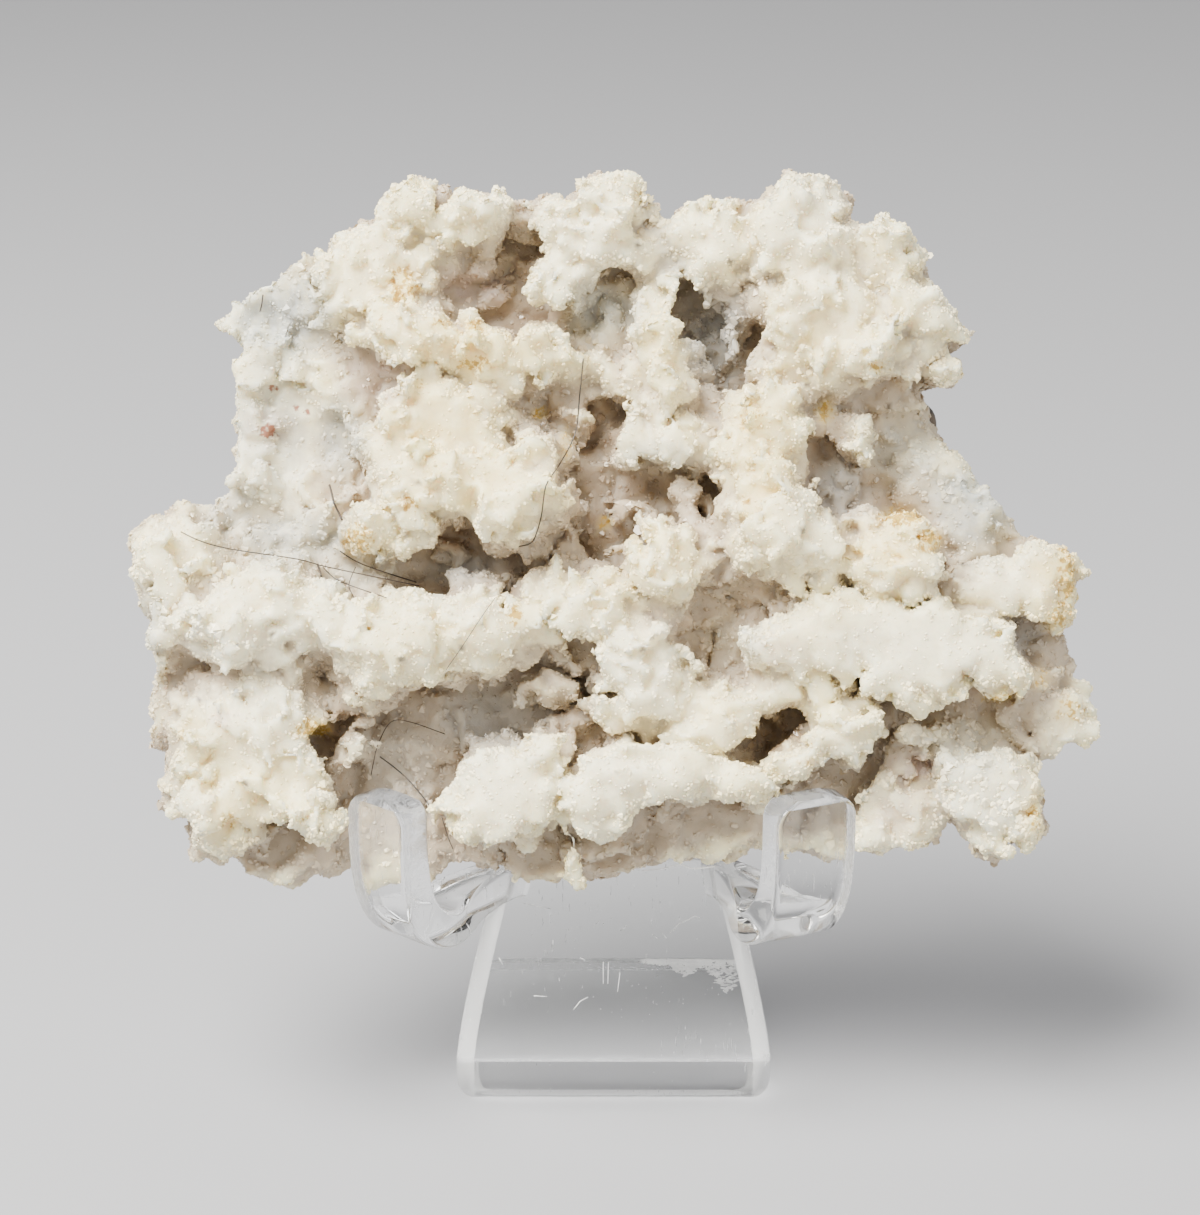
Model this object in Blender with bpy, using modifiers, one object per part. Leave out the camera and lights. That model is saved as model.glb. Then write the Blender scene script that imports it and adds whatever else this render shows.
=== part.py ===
"""Chalcedony cluster: a drusy, coral-like plate of chalcedony with a rind of dark rock on its
back, leaning on a one-piece clear acrylic easel. Metres, +Z up, the viewer is at -Y."""
import math

import bmesh
import bpy
from mathutils import Matrix, Vector

MM = 0.001

# Driving dimensions of the easel, in millimetres
SHEET = 3.0                 # thickness of the bent acrylic sheet
LEAN = 19.0                 # degrees the panel and the stone lean back
BASE_DEPTH = 21.5           # from the front of the fold to the cut rear edge
FOLD_RADIUS = 2.0           # of the sheet's middle, at the front fold
FOOT_HALF = 12.25           # half width of the foot, at the front fold
REAR_HALF = 10.8            # half width of the base at its cut rear edge
SHOULDER_HALF = 8.9         # half width of the panel at its shoulder
SHOULDER_Z = 18.6
PRONG_HALF = 5.0            # half width of the back rest above the shoulder
PRONG_TOP_Z = 38.0
ARM_TOP_Z = 19.5            # upper face of the arms at the shoulder
ARM_DIP = 1.1               # how far the arms sink towards their lips
LIP_TOP_Z = 28.4
LIP_FORWARD = 8.8           # from the panel's front face to the middle of a lip
NECK_HALF = 1.2
NECK_LENGTH = 2.0           # along an arm before it widens
SHOULDER_FILLET = 2.6
STRAIGHT_Z = 4.0            # the panel's sides are upright below this
WAIST_POWER = 1.25          # how the sides curve in from there to the shoulder
FOOT_CORNER = 2.0           # radii of the rounded corners
PRONG_CORNER = 3.0
LIP_CORNER = 1.7
EDGE_POLISH = 0.45          # width of the broken edges of the sheet
FIT_GAP = 0.3               # between stone and easel, and between stone and rind

# Each arm: side, root x, heading outward, yaw of its lip, half width of the lip
ARMS = (
    ("left", -1.0, 8.0, 45.0, 40.0, 2.9),
    ("right", 1.0, 8.3, 35.0, 24.0, 3.3),
)

# The stone's own frame: u to the right, w up along the lean, n out of the plate
STONE_Y = 6.8
STONE_Z = 45.3
STONE_BACK = -5.2
PLATEAU = 3.6               # level of the upper masses
RIND_FRONT = -5.5
RIND_BACK = -6.7
CENTRE_SHIFT = (0.065, -7.23)    # puts the whole object's middle over the origin

# Sizes of the modelling steps
STRIP_COLUMNS = 4           # faces across a strip of sheet
FOLD_STEPS = 7
ARM_STEPS = 4               # between two points of an arm's route
BEYOND = 60.0               # reach of a cutter that goes past the whole stone
SWELLING_HEIGHT = 3.4       # of the balls that make the rounded tops
RIND_WEAR = 0.3             # width of the rind's worn edges
VOXEL = 0.85
LUMP_SIZE = 2.6
LUMP_STRENGTH = 1.1
STONE_FACES = 6800

# The outline of the stone as seen along n, clockwise from its left end, in millimetres
SILHOUETTE = (
    (-36.2, -1.2), (-35.9, -0.5), (-35.0, 0.6), (-34.0, 0.9), (-33.2, 1.5), (-32.4, 1.9),
    (-31.2, 1.7), (-30.0, 2.7), (-29.3, 3.1), (-29.0, 4.2), (-28.5, 5.0), (-28.7, 6.2),
    (-28.4, 7.0), (-28.8, 9.3), (-28.0, 10.3), (-28.3, 11.3), (-27.8, 12.2), (-27.4, 14.4),
    (-28.3, 14.9), (-29.7, 15.9), (-29.5, 16.6), (-28.0, 18.0), (-26.7, 18.4), (-25.4, 18.4),
    (-25.1, 19.4), (-24.0, 20.0), (-23.0, 20.6), (-21.8, 20.7), (-20.8, 21.8), (-18.8, 23.1),
    (-17.6, 23.7), (-16.8, 24.8), (-16.7, 25.3), (-15.4, 26.4), (-14.7, 26.6), (-14.1, 26.3),
    (-13.3, 25.6), (-12.5, 25.5), (-11.9, 25.0), (-10.5, 25.3), (-9.0, 25.3), (-8.2, 24.7),
    (-7.2, 24.7), (-6.7, 25.2), (-4.8, 24.9), (-3.0, 25.0), (-2.6, 25.7), (-2.0, 26.3),
    (-1.0, 26.4), (-0.4, 26.0), (0.5, 26.0), (1.8, 26.0), (2.2, 25.2), (2.5, 24.2),
    (2.9, 23.2), (3.5, 22.9), (4.2, 23.0), (4.8, 24.2), (5.7, 24.6), (6.2, 24.2), (8.2, 24.6),
    (10.6, 24.6), (11.2, 25.2), (12.5, 26.0), (13.8, 26.2), (15.8, 26.1), (16.8, 25.5),
    (17.4, 24.7), (17.6, 23.6), (18.0, 22.7), (19.0, 22.8), (19.4, 23.3), (20.3, 23.1),
    (21.9, 22.6), (22.2, 21.7), (22.8, 20.9), (22.6, 20.4), (23.0, 19.9), (23.9, 18.0),
    (25.3, 16.2), (26.6, 14.9), (26.2, 14.5), (25.0, 13.9), (24.9, 13.2), (25.8, 12.9),
    (26.1, 12.0), (25.8, 11.5), (23.2, 11.1), (23.6, 9.6), (24.3, 7.9), (25.0, 6.4),
    (26.0, 5.1), (27.2, 3.8), (28.2, 2.6), (29.0, 1.2), (30.1, -0.3), (30.5, -1.0),
    (31.3, -1.1), (32.0, -0.7), (32.4, -1.3), (33.4, -1.5), (34.5, -1.9), (34.9, -2.8),
    (34.5, -3.5), (34.4, -4.7), (33.6, -6.0), (33.5, -7.1), (34.4, -9.5), (35.0, -10.8),
    (35.8, -11.8), (36.0, -14.2), (35.5, -15.9), (34.0, -15.8), (32.0, -17.3), (31.6, -19.9),
    (32.3, -21.3), (32.5, -22.2), (31.3, -23.3), (30.4, -23.2), (29.9, -22.6), (29.3, -24.4),
    (28.6, -24.6), (28.0, -24.1), (27.4, -23.0), (26.3, -22.5), (25.0, -21.3), (24.2, -23.0),
    (23.6, -23.5), (20.8, -23.6), (19.3, -24.4), (18.5, -24.0), (17.0, -24.5), (15.5, -24.5),
    (14.5, -24.1), (12.0, -24.3), (10.4, -23.6), (9.4, -24.1), (7.5, -24.7), (3.8, -25.0),
    (0.0, -25.8), (-2.8, -26.0), (-5.3, -26.2), (-6.0, -25.7), (-8.2, -25.4), (-10.0, -25.0),
    (-12.0, -25.3), (-14.0, -26.2), (-15.3, -26.6), (-18.0, -25.8), (-19.7, -25.4),
    (-22.7, -25.3), (-25.0, -26.4), (-26.2, -26.3), (-27.0, -25.3), (-28.4, -24.0),
    (-30.2, -24.4), (-31.3, -24.1), (-31.7, -22.0), (-31.4, -21.2), (-33.4, -20.5),
    (-33.9, -19.7), (-33.8, -18.5), (-33.2, -16.8), (-34.2, -16.6), (-34.7, -15.8),
    (-34.0, -14.2), (-34.5, -13.0), (-34.7, -11.0), (-34.1, -9.7), (-34.6, -8.8),
    (-34.8, -7.0), (-35.3, -5.3), (-35.8, -2.8),
)

# Recesses between the masses: name, level of the floor, outline
RECESSES = (
    ("left_bench", 1.4, (
        (-31.5, 3.5), (-31.0, 1.5), (-29.6, -0.2), (-28.8, -1.1), (-27.0, -1.6), (-24.5, -1.6),
        (-22.8, -1.2), (-21.2, -0.9), (-20.7, 0.8), (-18.6, 2.0), (-17.3, 3.0), (-18.7, 4.0),
        (-19.6, 5.4), (-18.9, 7.2), (-18.4, 8.6), (-18.6, 9.9), (-16.2, 10.6), (-15.2, 11.9),
        (-17.5, 12.5), (-19.0, 13.4), (-20.6, 14.2), (-22.2, 15.0), (-22.2, 18.0),
        (-22.0, 22.0), (-31.0, 22.0))),
    ("pink_shelf", 2.2, (
        (-12.9, 18.5), (-12.5, 19.5), (-10.7, 20.3), (-9.2, 20.4), (-8.4, 19.0), (-8.5, 17.2),
        (-9.8, 16.9), (-11.3, 16.8), (-12.3, 17.2))),
    ("brown_gully", -1.0, (
        (-7.8, 22.3), (-7.0, 22.4), (-5.5, 21.6), (-4.9, 21.3), (-5.8, 20.4), (-6.8, 19.9),
        (-6.4, 19.1), (-7.0, 18.3), (-6.9, 17.1), (-5.5, 17.0), (-4.9, 16.9), (-5.2, 16.2),
        (-6.3, 16.0), (-6.6, 15.2), (-7.6, 15.0), (-8.6, 16.0), (-10.4, 16.5), (-8.6, 17.3),
        (-8.5, 19.2), (-9.2, 20.4), (-8.2, 20.8))),
    ("grey_alcove", 0.2, (
        (-2.4, 17.0), (-1.3, 18.3), (-0.7, 19.2), (0.2, 19.5), (0.8, 19.1), (1.4, 17.4),
        (1.7, 16.0), (1.6, 14.8), (0.9, 14.4), (0.2, 13.3), (-1.2, 14.0), (-2.3, 13.9),
        (-3.8, 14.4), (-4.5, 15.5), (-5.0, 16.3), (-4.4, 17.0))),
    ("dark_gully", -2.2, (
        (4.9, 18.3), (4.5, 17.2), (4.2, 16.5), (4.8, 15.8), (5.3, 14.9), (6.9, 14.1),
        (7.2, 13.2), (7.7, 12.3), (8.0, 11.1), (8.6, 10.2), (10.2, 10.1), (10.6, 10.6),
        (10.3, 11.4), (10.9, 12.8), (10.4, 13.6), (11.0, 14.8), (10.1, 15.1), (9.9, 14.5),
        (8.5, 14.3), (8.1, 15.6), (7.9, 16.8), (7.2, 17.5), (6.6, 17.2), (6.4, 18.4),
        (5.4, 18.7))),
    ("peak_notch", 1.0, (
        (-13.4, 26.5), (-11.9, 26.0), (-12.4, 24.5), (-12.9, 23.9), (-13.5, 24.2))),
    ("tan_hollow", 2.4, (
        (-6.6, 10.9), (-4.5, 11.1), (-2.5, 11.2), (-0.6, 10.9), (-0.4, 10.1), (-1.9, 9.8),
        (-3.2, 9.4), (-4.9, 9.1), (-6.1, 9.5))),
    ("small_hole", -1.5, (
        (-6.1, 9.4), (-5.0, 9.3), (-3.9, 9.1), (-4.2, 8.5), (-5.0, 8.2), (-5.7, 8.4))),
    ("pin_hole", 1.2, (
        (-8.8, 7.9), (-7.7, 7.6), (-7.2, 6.4), (-7.6, 6.2), (-8.3, 7.0))),
    ("hair_hole", -2.0, (
        (-1.9, 9.8), (-0.9, 9.4), (0.3, 9.8), (0.9, 9.7), (1.4, 9.1), (0.3, 8.7), (0.1, 7.9),
        (-1.0, 7.0), (-1.2, 6.2), (-1.6, 5.8), (-3.2, 6.4), (-3.1, 7.3), (-1.8, 8.3))),
    ("long_recess", -1.6, (
        (-3.3, 4.2), (-2.4, 2.7), (-1.2, 2.6), (-0.2, 2.2), (2.0, 2.8), (3.1, 1.8),
        (4.4, 1.5), (5.2, 0.5), (5.1, 1.9), (4.6, 2.8), (5.0, 3.9), (5.4, 3.9), (5.0, 4.4),
        (3.6, 4.4), (2.0, 4.7), (1.0, 5.0), (-0.7, 5.1), (-2.3, 5.9), (-2.9, 5.2))),
    ("block_side", -1.6, (
        (5.7, 3.5), (7.6, 3.4), (7.9, 3.0), (7.9, 2.4), (7.6, 1.3), (7.1, 1.6), (6.6, 2.2),
        (6.1, 2.7))),
    ("arch_hole", -1.6, (
        (-2.6, 1.0), (-2.0, 1.9), (-1.0, 1.9), (-0.5, 1.2), (1.0, 0.9), (1.7, 0.2),
        (2.0, -0.9), (1.5, -0.6), (1.1, 0.1), (0.6, -0.5), (-0.3, 0.3), (-1.3, 0.5),
        (-1.9, 0.2), (-2.4, 0.1))),
    ("arch_slit", -1.6, (
        (-1.9, -0.5), (-0.8, -1.0), (0.2, -2.0), (0.3, -2.6), (-0.2, -2.6), (-1.2, -1.7),
        (-2.0, -1.5))),
    ("hair_gully", -0.8, (
        (-16.0, -1.8), (-13.8, -0.6), (-12.9, 0.4), (-12.2, 0.9), (-11.2, -0.1), (-10.4, 0.0),
        (-9.2, -1.5), (-8.0, -1.9), (-7.3, -1.2), (-6.5, -2.6), (-7.4, -3.7), (-7.4, -4.4),
        (-8.2, -4.7), (-8.3, -3.0), (-10.0, -2.6), (-12.0, -2.5), (-12.8, -3.3),
        (-12.6, -4.6), (-14.3, -4.2), (-15.8, -4.4), (-16.4, -3.4))),
    ("hair_bench", 1.2, (
        (-22.8, -1.1), (-20.5, -1.7), (-18.5, -1.5), (-16.0, -1.8), (-16.3, -4.2),
        (-18.0, -4.8), (-20.1, -4.5), (-21.2, -3.6), (-22.5, -2.8))),
    ("pendant_left", -1.6, (
        (13.8, 6.4), (15.0, 6.9), (16.9, 7.0), (17.5, 6.2), (18.0, 4.9), (18.5, 3.4),
        (18.6, 2.0), (18.0, 0.9), (17.0, 1.8), (15.0, 2.5), (14.5, 3.0), (14.5, 5.5))),
    ("pendant_right", -0.6, (
        (18.7, 8.2), (18.7, 7.0), (19.3, 5.2), (18.4, 4.3), (19.2, 3.2), (18.6, 2.1),
        (20.2, 1.9), (22.2, 1.4), (23.0, 0.2), (24.6, -1.4), (25.0, -2.6), (28.0, -1.9),
        (30.3, -1.2), (31.5, 2.0), (27.0, 7.0), (25.0, 11.0), (23.3, 11.0), (22.7, 9.3),
        (21.9, 9.0), (20.5, 9.2), (19.2, 8.9))),
    ("tan_pool", 1.9, (
        (5.5, -5.0), (6.5, -4.1), (8.0, -4.2), (9.6, -5.0), (12.0, -5.9), (10.9, -7.2),
        (9.6, -7.8), (9.4, -8.5), (9.9, -9.4), (9.6, -10.7), (7.6, -10.8), (5.9, -10.0),
        (5.2, -8.0), (5.5, -6.4))),
    ("crack", 1.0, (
        (-3.4, -7.7), (-2.2, -8.1), (-1.2, -9.2), (-1.6, -10.2), (-1.3, -11.4), (-0.2, -12.2),
        (-2.1, -11.9), (-2.2, -10.4), (-2.4, -9.2))),
    ("right_pocket", -0.4, (
        (29.2, -6.7), (31.5, -6.5), (33.2, -7.1), (34.5, -7.0), (37.5, -11.0), (37.0, -16.5),
        (33.0, -17.0), (31.5, -16.0), (29.9, -16.3), (28.5, -16.2), (26.5, -16.0),
        (24.8, -14.5), (22.5, -14.6), (20.3, -14.6), (19.2, -13.0), (19.4, -12.0),
        (25.0, -12.4), (30.0, -11.5), (30.8, -10.5), (29.6, -9.0), (29.3, -8.0))),
    ("brown_pit", -1.8, (
        (9.9, -16.7), (10.1, -15.1), (10.9, -15.3), (11.2, -14.2), (12.2, -14.5),
        (14.0, -13.9), (14.6, -14.7), (13.4, -15.6), (12.0, -16.1), (11.3, -17.2),
        (12.2, -18.5), (11.6, -18.6), (10.7, -17.3))),
    ("pink_hollow", 0.6, (
        (20.9, -16.2), (22.0, -16.4), (24.8, -17.6), (25.0, -19.0), (23.6, -19.0),
        (21.6, -18.6), (20.9, -17.6))),
    ("great_recess", -1.5, (
        (-23.0, -14.7), (-21.0, -13.8), (-20.4, -14.0), (-18.7, -13.3), (-17.6, -14.0),
        (-16.5, -13.5), (-15.4, -12.1), (-14.0, -11.2), (-12.0, -11.7), (-10.0, -11.7),
        (-8.0, -11.9), (-8.0, -10.4), (-6.2, -9.9), (-5.3, -10.8), (-2.2, -10.4),
        (-2.0, -11.8), (-3.0, -12.9), (-5.0, -13.9), (-5.9, -15.0), (-8.0, -15.6),
        (-10.6, -16.0), (-11.3, -17.6), (-11.2, -19.0), (-13.0, -19.9), (-13.7, -20.5),
        (-13.0, -21.2), (-11.5, -21.5), (-11.8, -22.8), (-10.8, -24.8), (-11.0, -28.0),
        (-19.6, -28.0), (-19.8, -22.5), (-20.4, -20.5), (-21.3, -18.8), (-21.3, -16.8),
        (-22.9, -16.0))),
    ("left_foot", -0.6, (
        (-29.0, -28.0), (-28.6, -24.0), (-27.0, -23.5), (-25.0, -23.2), (-25.1, -22.0),
        (-24.6, -21.4), (-23.5, -21.4), (-23.0, -23.2), (-21.8, -22.9), (-19.6, -23.0),
        (-19.4, -28.0))),
    ("pit_left", -1.2, (
        (-3.9, -15.7), (-2.7, -15.1), (-1.1, -15.2), (-1.0, -16.5), (-2.8, -17.2),
        (-3.2, -16.4))),
    ("under_left", 0.4, (
        (-9.0, -23.9), (-6.5, -23.2), (-4.2, -22.2), (-3.8, -23.0), (-4.2, -24.8),
        (-4.4, -28.0), (-10.6, -28.0), (-10.2, -24.8))),
    ("under_mid", 1.2, (
        (-3.0, -22.6), (0.0, -21.8), (1.5, -20.8), (4.2, -19.6), (4.2, -21.2), (2.2, -23.2),
        (-0.8, -24.4), (-2.6, -24.8), (-2.8, -23.6))),
    ("bottom_floor", -1.4, (
        (4.2, -20.4), (5.0, -19.6), (6.6, -19.1), (9.0, -19.4), (11.0, -20.5), (12.2, -19.8),
        (12.6, -18.8), (15.0, -17.3), (16.4, -16.7), (17.6, -17.7), (19.2, -16.4),
        (19.9, -15.2), (20.8, -16.4), (20.0, -18.2), (18.4, -19.3), (17.9, -20.8),
        (18.2, -23.0), (18.0, -28.0), (-2.4, -28.0), (-2.2, -25.2), (0.6, -24.6),
        (2.6, -23.0), (4.1, -21.2))),
)

# Ridges that stand over their neighbours: name, lower level, upper level, outline
RIDGES = (
    ("right_ridge", 2.0, 6.6, (
        (9.6, -8.2), (11.0, -7.2), (12.2, -6.3), (14.4, -5.0), (18.0, -5.3), (22.3, -5.3),
        (25.0, -5.6), (28.2, -6.2), (29.6, -7.7), (29.2, -8.6), (30.9, -10.4), (30.7, -11.2),
        (29.4, -11.9), (26.8, -11.5), (25.8, -10.7), (25.9, -12.0), (25.0, -12.7),
        (23.4, -11.8), (22.9, -12.7), (20.9, -12.6), (17.9, -11.8), (18.3, -10.6),
        (15.0, -10.0), (10.6, -9.8))),
    ("finger", 1.0, 5.2, (
        (11.4, -17.3), (12.2, -16.2), (14.6, -15.1), (17.0, -13.6), (19.4, -13.4),
        (20.0, -14.9), (19.2, -16.4), (17.6, -17.6), (16.4, -16.8), (15.0, -17.3),
        (13.2, -18.2), (12.3, -18.7))),
    ("right_lobe", 1.0, 4.6, (
        (25.2, -2.9), (27.5, -2.2), (30.4, -1.3), (32.0, -0.9), (34.4, -2.2), (34.2, -4.5),
        (33.5, -6.8), (32.4, -7.0), (31.2, -6.1), (28.6, -6.4), (25.4, -5.4))),
    ("right_legs", -3.0, 3.8, (
        (25.0, -16.2), (26.5, -17.0), (29.4, -16.2), (31.0, -17.5), (31.5, -19.9),
        (32.3, -22.2), (31.0, -23.2), (29.8, -22.4), (28.8, -24.4), (28.0, -23.9),
        (27.2, -22.8), (25.2, -21.2), (25.0, -19.0))),
    ("spur_mass", 0.0, 6.0, (
        (-13.5, -20.5), (-11.4, -19.4), (-11.0, -17.2), (-10.4, -16.1), (-7.0, -15.6),
        (-5.0, -14.4), (-3.6, -15.8), (-4.4, -17.4), (-3.6, -19.4), (-4.4, -21.6),
        (-7.2, -22.2), (-9.8, -22.8), (-11.4, -22.9), (-11.6, -21.4), (-13.2, -21.2))),
    ("middle_mass", 0.0, 6.2, (
        (-3.6, -18.0), (-1.8, -16.8), (1.0, -16.0), (3.2, -16.6), (6.2, -16.4), (8.4, -17.0),
        (10.6, -17.4), (12.0, -19.2), (11.2, -20.4), (9.0, -19.6), (6.8, -18.9),
        (5.6, -19.6), (2.6, -19.9), (0.4, -21.6), (-2.2, -22.2), (-3.6, -21.0))),
    ("pendant", 0.0, 4.6, (
        (17.0, 8.8), (18.7, 8.4), (18.9, 7.0), (19.3, 5.0), (18.6, 4.4), (17.9, 5.6),
        (17.2, 7.0))),
    ("slit_lobe", -1.0, 2.6, (
        (-7.2, -12.6), (-6.6, -11.4), (-4.0, -10.6), (-2.2, -10.9), (-2.6, -12.2),
        (-4.6, -12.7), (-6.8, -13.0))),
    ("left_pendant", -1.0, 2.8, (
        (-19.9, -13.9), (-18.8, -13.4), (-18.2, -14.6), (-18.8, -15.2), (-19.6, -14.8))),
    ("left_finger", -1.0, 2.6, (
        (-21.4, -16.1), (-19.0, -15.8), (-18.2, -16.3), (-19.0, -17.2), (-21.0, -17.4))),
    ("dark_block", -2.0, 2.6, (
        (8.1, 15.8), (8.6, 16.5), (9.8, 16.0), (10.0, 14.8), (9.1, 14.1), (8.4, 14.5))),
    ("corner_block", -1.6, 3.0, (
        (5.0, 3.9), (5.5, 3.8), (6.2, 2.6), (7.0, 1.2), (6.2, 0.7), (5.3, 0.6), (4.7, 2.8))),
)

# Swellings of the masses: u, w, level of the top, radius across, radius along, all in millimetres
SWELLINGS = (
    (-18.0, 19.0, 5.4, 5.0, 4.6), (-12.0, 22.5, 5.0, 4.2, 3.2), (-14.7, 24.2, 4.6, 2.6, 2.8),
    (-16.0, 14.8, 5.4, 4.6, 3.2), (-8.0, 13.4, 6.0, 4.6, 3.2), (-2.0, 22.4, 6.2, 4.0, 4.4),
    (-5.0, 18.6, 5.6, 2.6, 2.6), (2.4, 22.0, 4.4, 2.0, 4.2), (7.0, 21.8, 5.6, 3.8, 3.2),
    (14.2, 22.4, 6.6, 4.6, 4.4), (20.4, 20.6, 5.0, 3.2, 3.2), (22.4, 15.6, 5.2, 4.2, 3.6),
    (15.6, 15.4, 6.4, 4.8, 5.0), (19.6, 13.6, 6.6, 2.4, 2.2), (23.0, 12.4, 4.8, 3.0, 1.6),
    (4.4, 14.4, 5.8, 2.6, 5.2), (-13.0, 6.4, 7.0, 6.2, 5.4), (-7.4, 3.6, 6.4, 4.2, 5.2),
    (-16.6, 0.8, 5.6, 3.6, 2.6), (4.2, 6.8, 4.8, 4.4, 2.4), (11.2, 7.6, 6.6, 3.2, 4.6),
    (11.0, 1.0, 6.8, 4.4, 4.6), (4.6, -1.8, 6.2, 4.2, 3.2), (14.8, -2.0, 5.8, 3.6, 3.0),
    (20.8, -1.8, 6.6, 4.4, 3.6), (-25.6, -6.4, 6.2, 8.0, 4.2), (-32.4, -2.4, 5.0, 3.6, 3.8),
    (-26.8, -14.6, 5.6, 5.8, 4.8), (-30.0, -19.6, 4.8, 4.0, 4.0), (-23.2, -18.6, 5.4, 3.2, 4.8),
    (-16.6, -8.0, 6.6, 5.0, 4.6), (-9.6, -7.6, 6.2, 4.4, 3.2), (-3.6, -6.0, 6.0, 4.4, 3.0),
    (2.2, -10.6, 6.4, 4.4, 4.2), (6.6, -13.6, 5.8, 4.4, 3.0), (13.4, -12.0, 4.4, 4.0, 2.8),
    (17.8, -14.2, 4.2, 3.0, 2.4), (21.6, -20.6, 2.4, 3.4, 3.0),
)

# Low lumps on the floors of the recesses, in the same terms
FLOOR_LUMPS = (
    (25.6, -17.4, 2.8, 2.4, 3.2), (31.8, -12.6, 1.6, 3.0, 2.4), (33.2, -14.6, 1.2, 2.4, 2.2),
    (23.6, 3.8, 0.5, 2.6, 3.2), (26.4, 1.2, 1.2, 3.4, 3.6), (-25.4, 16.6, 3.4, 3.8, 3.0),
    (-25.4, 8.4, 2.8, 3.0, 6.0), (-23.0, 2.4, 2.6, 4.4, 2.8), (-9.4, 18.4, 3.4, 1.2, 1.6),
    (16.0, 3.2, 0.8, 1.2, 1.0), (-12.2, -1.6, 0.6, 1.4, 1.2), (-16.0, -22.6, -0.4, 3.4, 3.4),
    (9.6, -22.4, -0.6, 4.6, 2.4),
)

# The rind of dark rock on the back, kept inside the stone's outline but for its right edge
RIND_OUTLINE = (
    (-33.6, -18.8), (-31.5, -9.0), (-32.0, -3.0), (-27.5, 1.5), (-25.8, 8.0), (-25.0, 14.8),
    (-20.0, 19.6), (-13.5, 22.6), (-3.0, 23.2), (7.0, 22.6), (15.6, 23.2), (20.6, 19.6),
    (22.9, 12.6), (24.1, 9.8), (25.2, 7.0), (26.4, 4.9), (29.2, 0.6), (32.6, -4.4),
    (33.0, -12.8), (28.6, -19.8), (20.0, -21.8), (8.0, -22.3), (-6.0, -22.8), (-22.0, -23.0),
    (-30.0, -21.4),
)


def remove_everything():
    for item in list(bpy.data.objects):
        bpy.data.objects.remove(item, do_unlink=True)


def new_collection(name):
    group = bpy.data.collections.new(name)
    bpy.context.scene.collection.children.link(group)
    return group


def new_material(name, color, roughness, transmission=0.0, ior=1.5):
    stuff = bpy.data.materials.new(name)
    stuff.use_nodes = True
    shader = stuff.node_tree.nodes["Principled BSDF"]
    shader.inputs["Base Color"].default_value = (*color, 1.0)
    shader.inputs["Roughness"].default_value = roughness
    shader.inputs["Metallic"].default_value = 0.0
    shader.inputs["Transmission Weight"].default_value = transmission
    shader.inputs["IOR"].default_value = ior
    return stuff


def whole_object_shift():
    return Matrix.Translation((CENTRE_SHIFT[0] * MM, CENTRE_SHIFT[1] * MM, 0.0))


def stone_matrix():
    """Turns (u, w, n) into the world's x, y, z."""
    lean = math.radians(LEAN)
    turn = Matrix((
        (1.0, 0.0, 0.0, 0.0),
        (0.0, math.sin(lean), -math.cos(lean), STONE_Y * MM),
        (0.0, math.cos(lean), math.sin(lean), STONE_Z * MM),
        (0.0, 0.0, 0.0, 1.0)))
    return whole_object_shift() @ turn


def add_object(name, mesh, collection):
    item = bpy.data.objects.new(name, mesh)
    collection.objects.link(item)
    return item


def evaluated_mesh(item):
    bpy.context.view_layer.update()
    graph = bpy.context.evaluated_depsgraph_get()
    return bpy.data.meshes.new_from_object(item.evaluated_get(graph))


def outline_solid(name, points, low, high, collection):
    """A flat outline in the stone's frame, extruded from one level to another."""
    curve = bpy.data.curves.new(name, "CURVE")
    curve.dimensions = "2D"
    curve.fill_mode = "BOTH"
    curve.extrude = (high - low) / 2 * MM
    line = curve.splines.new("POLY")
    line.points.add(len(points) - 1)
    for spot, (u, w) in zip(line.points, points):
        spot.co = (u * MM, w * MM, 0.0, 1.0)
    line.use_cyclic_u = True
    flat = add_object(name, curve, collection)
    mesh = evaluated_mesh(flat)
    bpy.data.objects.remove(flat, do_unlink=True)
    work = bmesh.new()
    work.from_mesh(mesh)
    bmesh.ops.remove_doubles(work, verts=work.verts, dist=1e-6)
    bmesh.ops.translate(work, verts=work.verts, vec=(0.0, 0.0, (high + low) / 2 * MM))
    bmesh.ops.recalc_face_normals(work, faces=work.faces)
    work.to_mesh(mesh)
    work.free()
    return add_object(name, mesh, collection)


def swelling_solid(index, swelling, collection):
    u, w, top, across, along = swelling
    height = min(across, along, SWELLING_HEIGHT)
    mesh = bpy.data.meshes.new("swelling")
    work = bmesh.new()
    bmesh.ops.create_uvsphere(work, u_segments=20, v_segments=12, radius=1.0)
    bmesh.ops.scale(work, verts=work.verts, vec=(across * MM, along * MM, height * MM))
    bmesh.ops.translate(work, verts=work.verts, vec=(u * MM, w * MM, (top - height) * MM))
    work.to_mesh(mesh)
    work.free()
    return add_object(f"swelling_{index:02d}", mesh, collection)


def cut_away(item, cutter, name):
    modifier = item.modifiers.new(name, "BOOLEAN")
    modifier.operation = "DIFFERENCE"
    modifier.solver = "EXACT"
    modifier.object = cutter
    cutter.hide_render = True
    cutter.display_type = "WIRE"


def join_meshes(name, items, collection):
    """One object from several overlapping closed ones, which are removed."""
    work = bmesh.new()
    for item in items:
        mesh = evaluated_mesh(item)
        work.from_mesh(mesh)
        bpy.data.meshes.remove(mesh)
    mesh = bpy.data.meshes.new(name)
    work.to_mesh(mesh)
    work.free()
    for item in items:
        bpy.data.objects.remove(item, do_unlink=True)
    return add_object(name, mesh, collection)


def add_remesh(item, size):
    remesh = item.modifiers.new("remesh", "REMESH")
    remesh.mode = "VOXEL"
    remesh.voxel_size = size * MM


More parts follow.
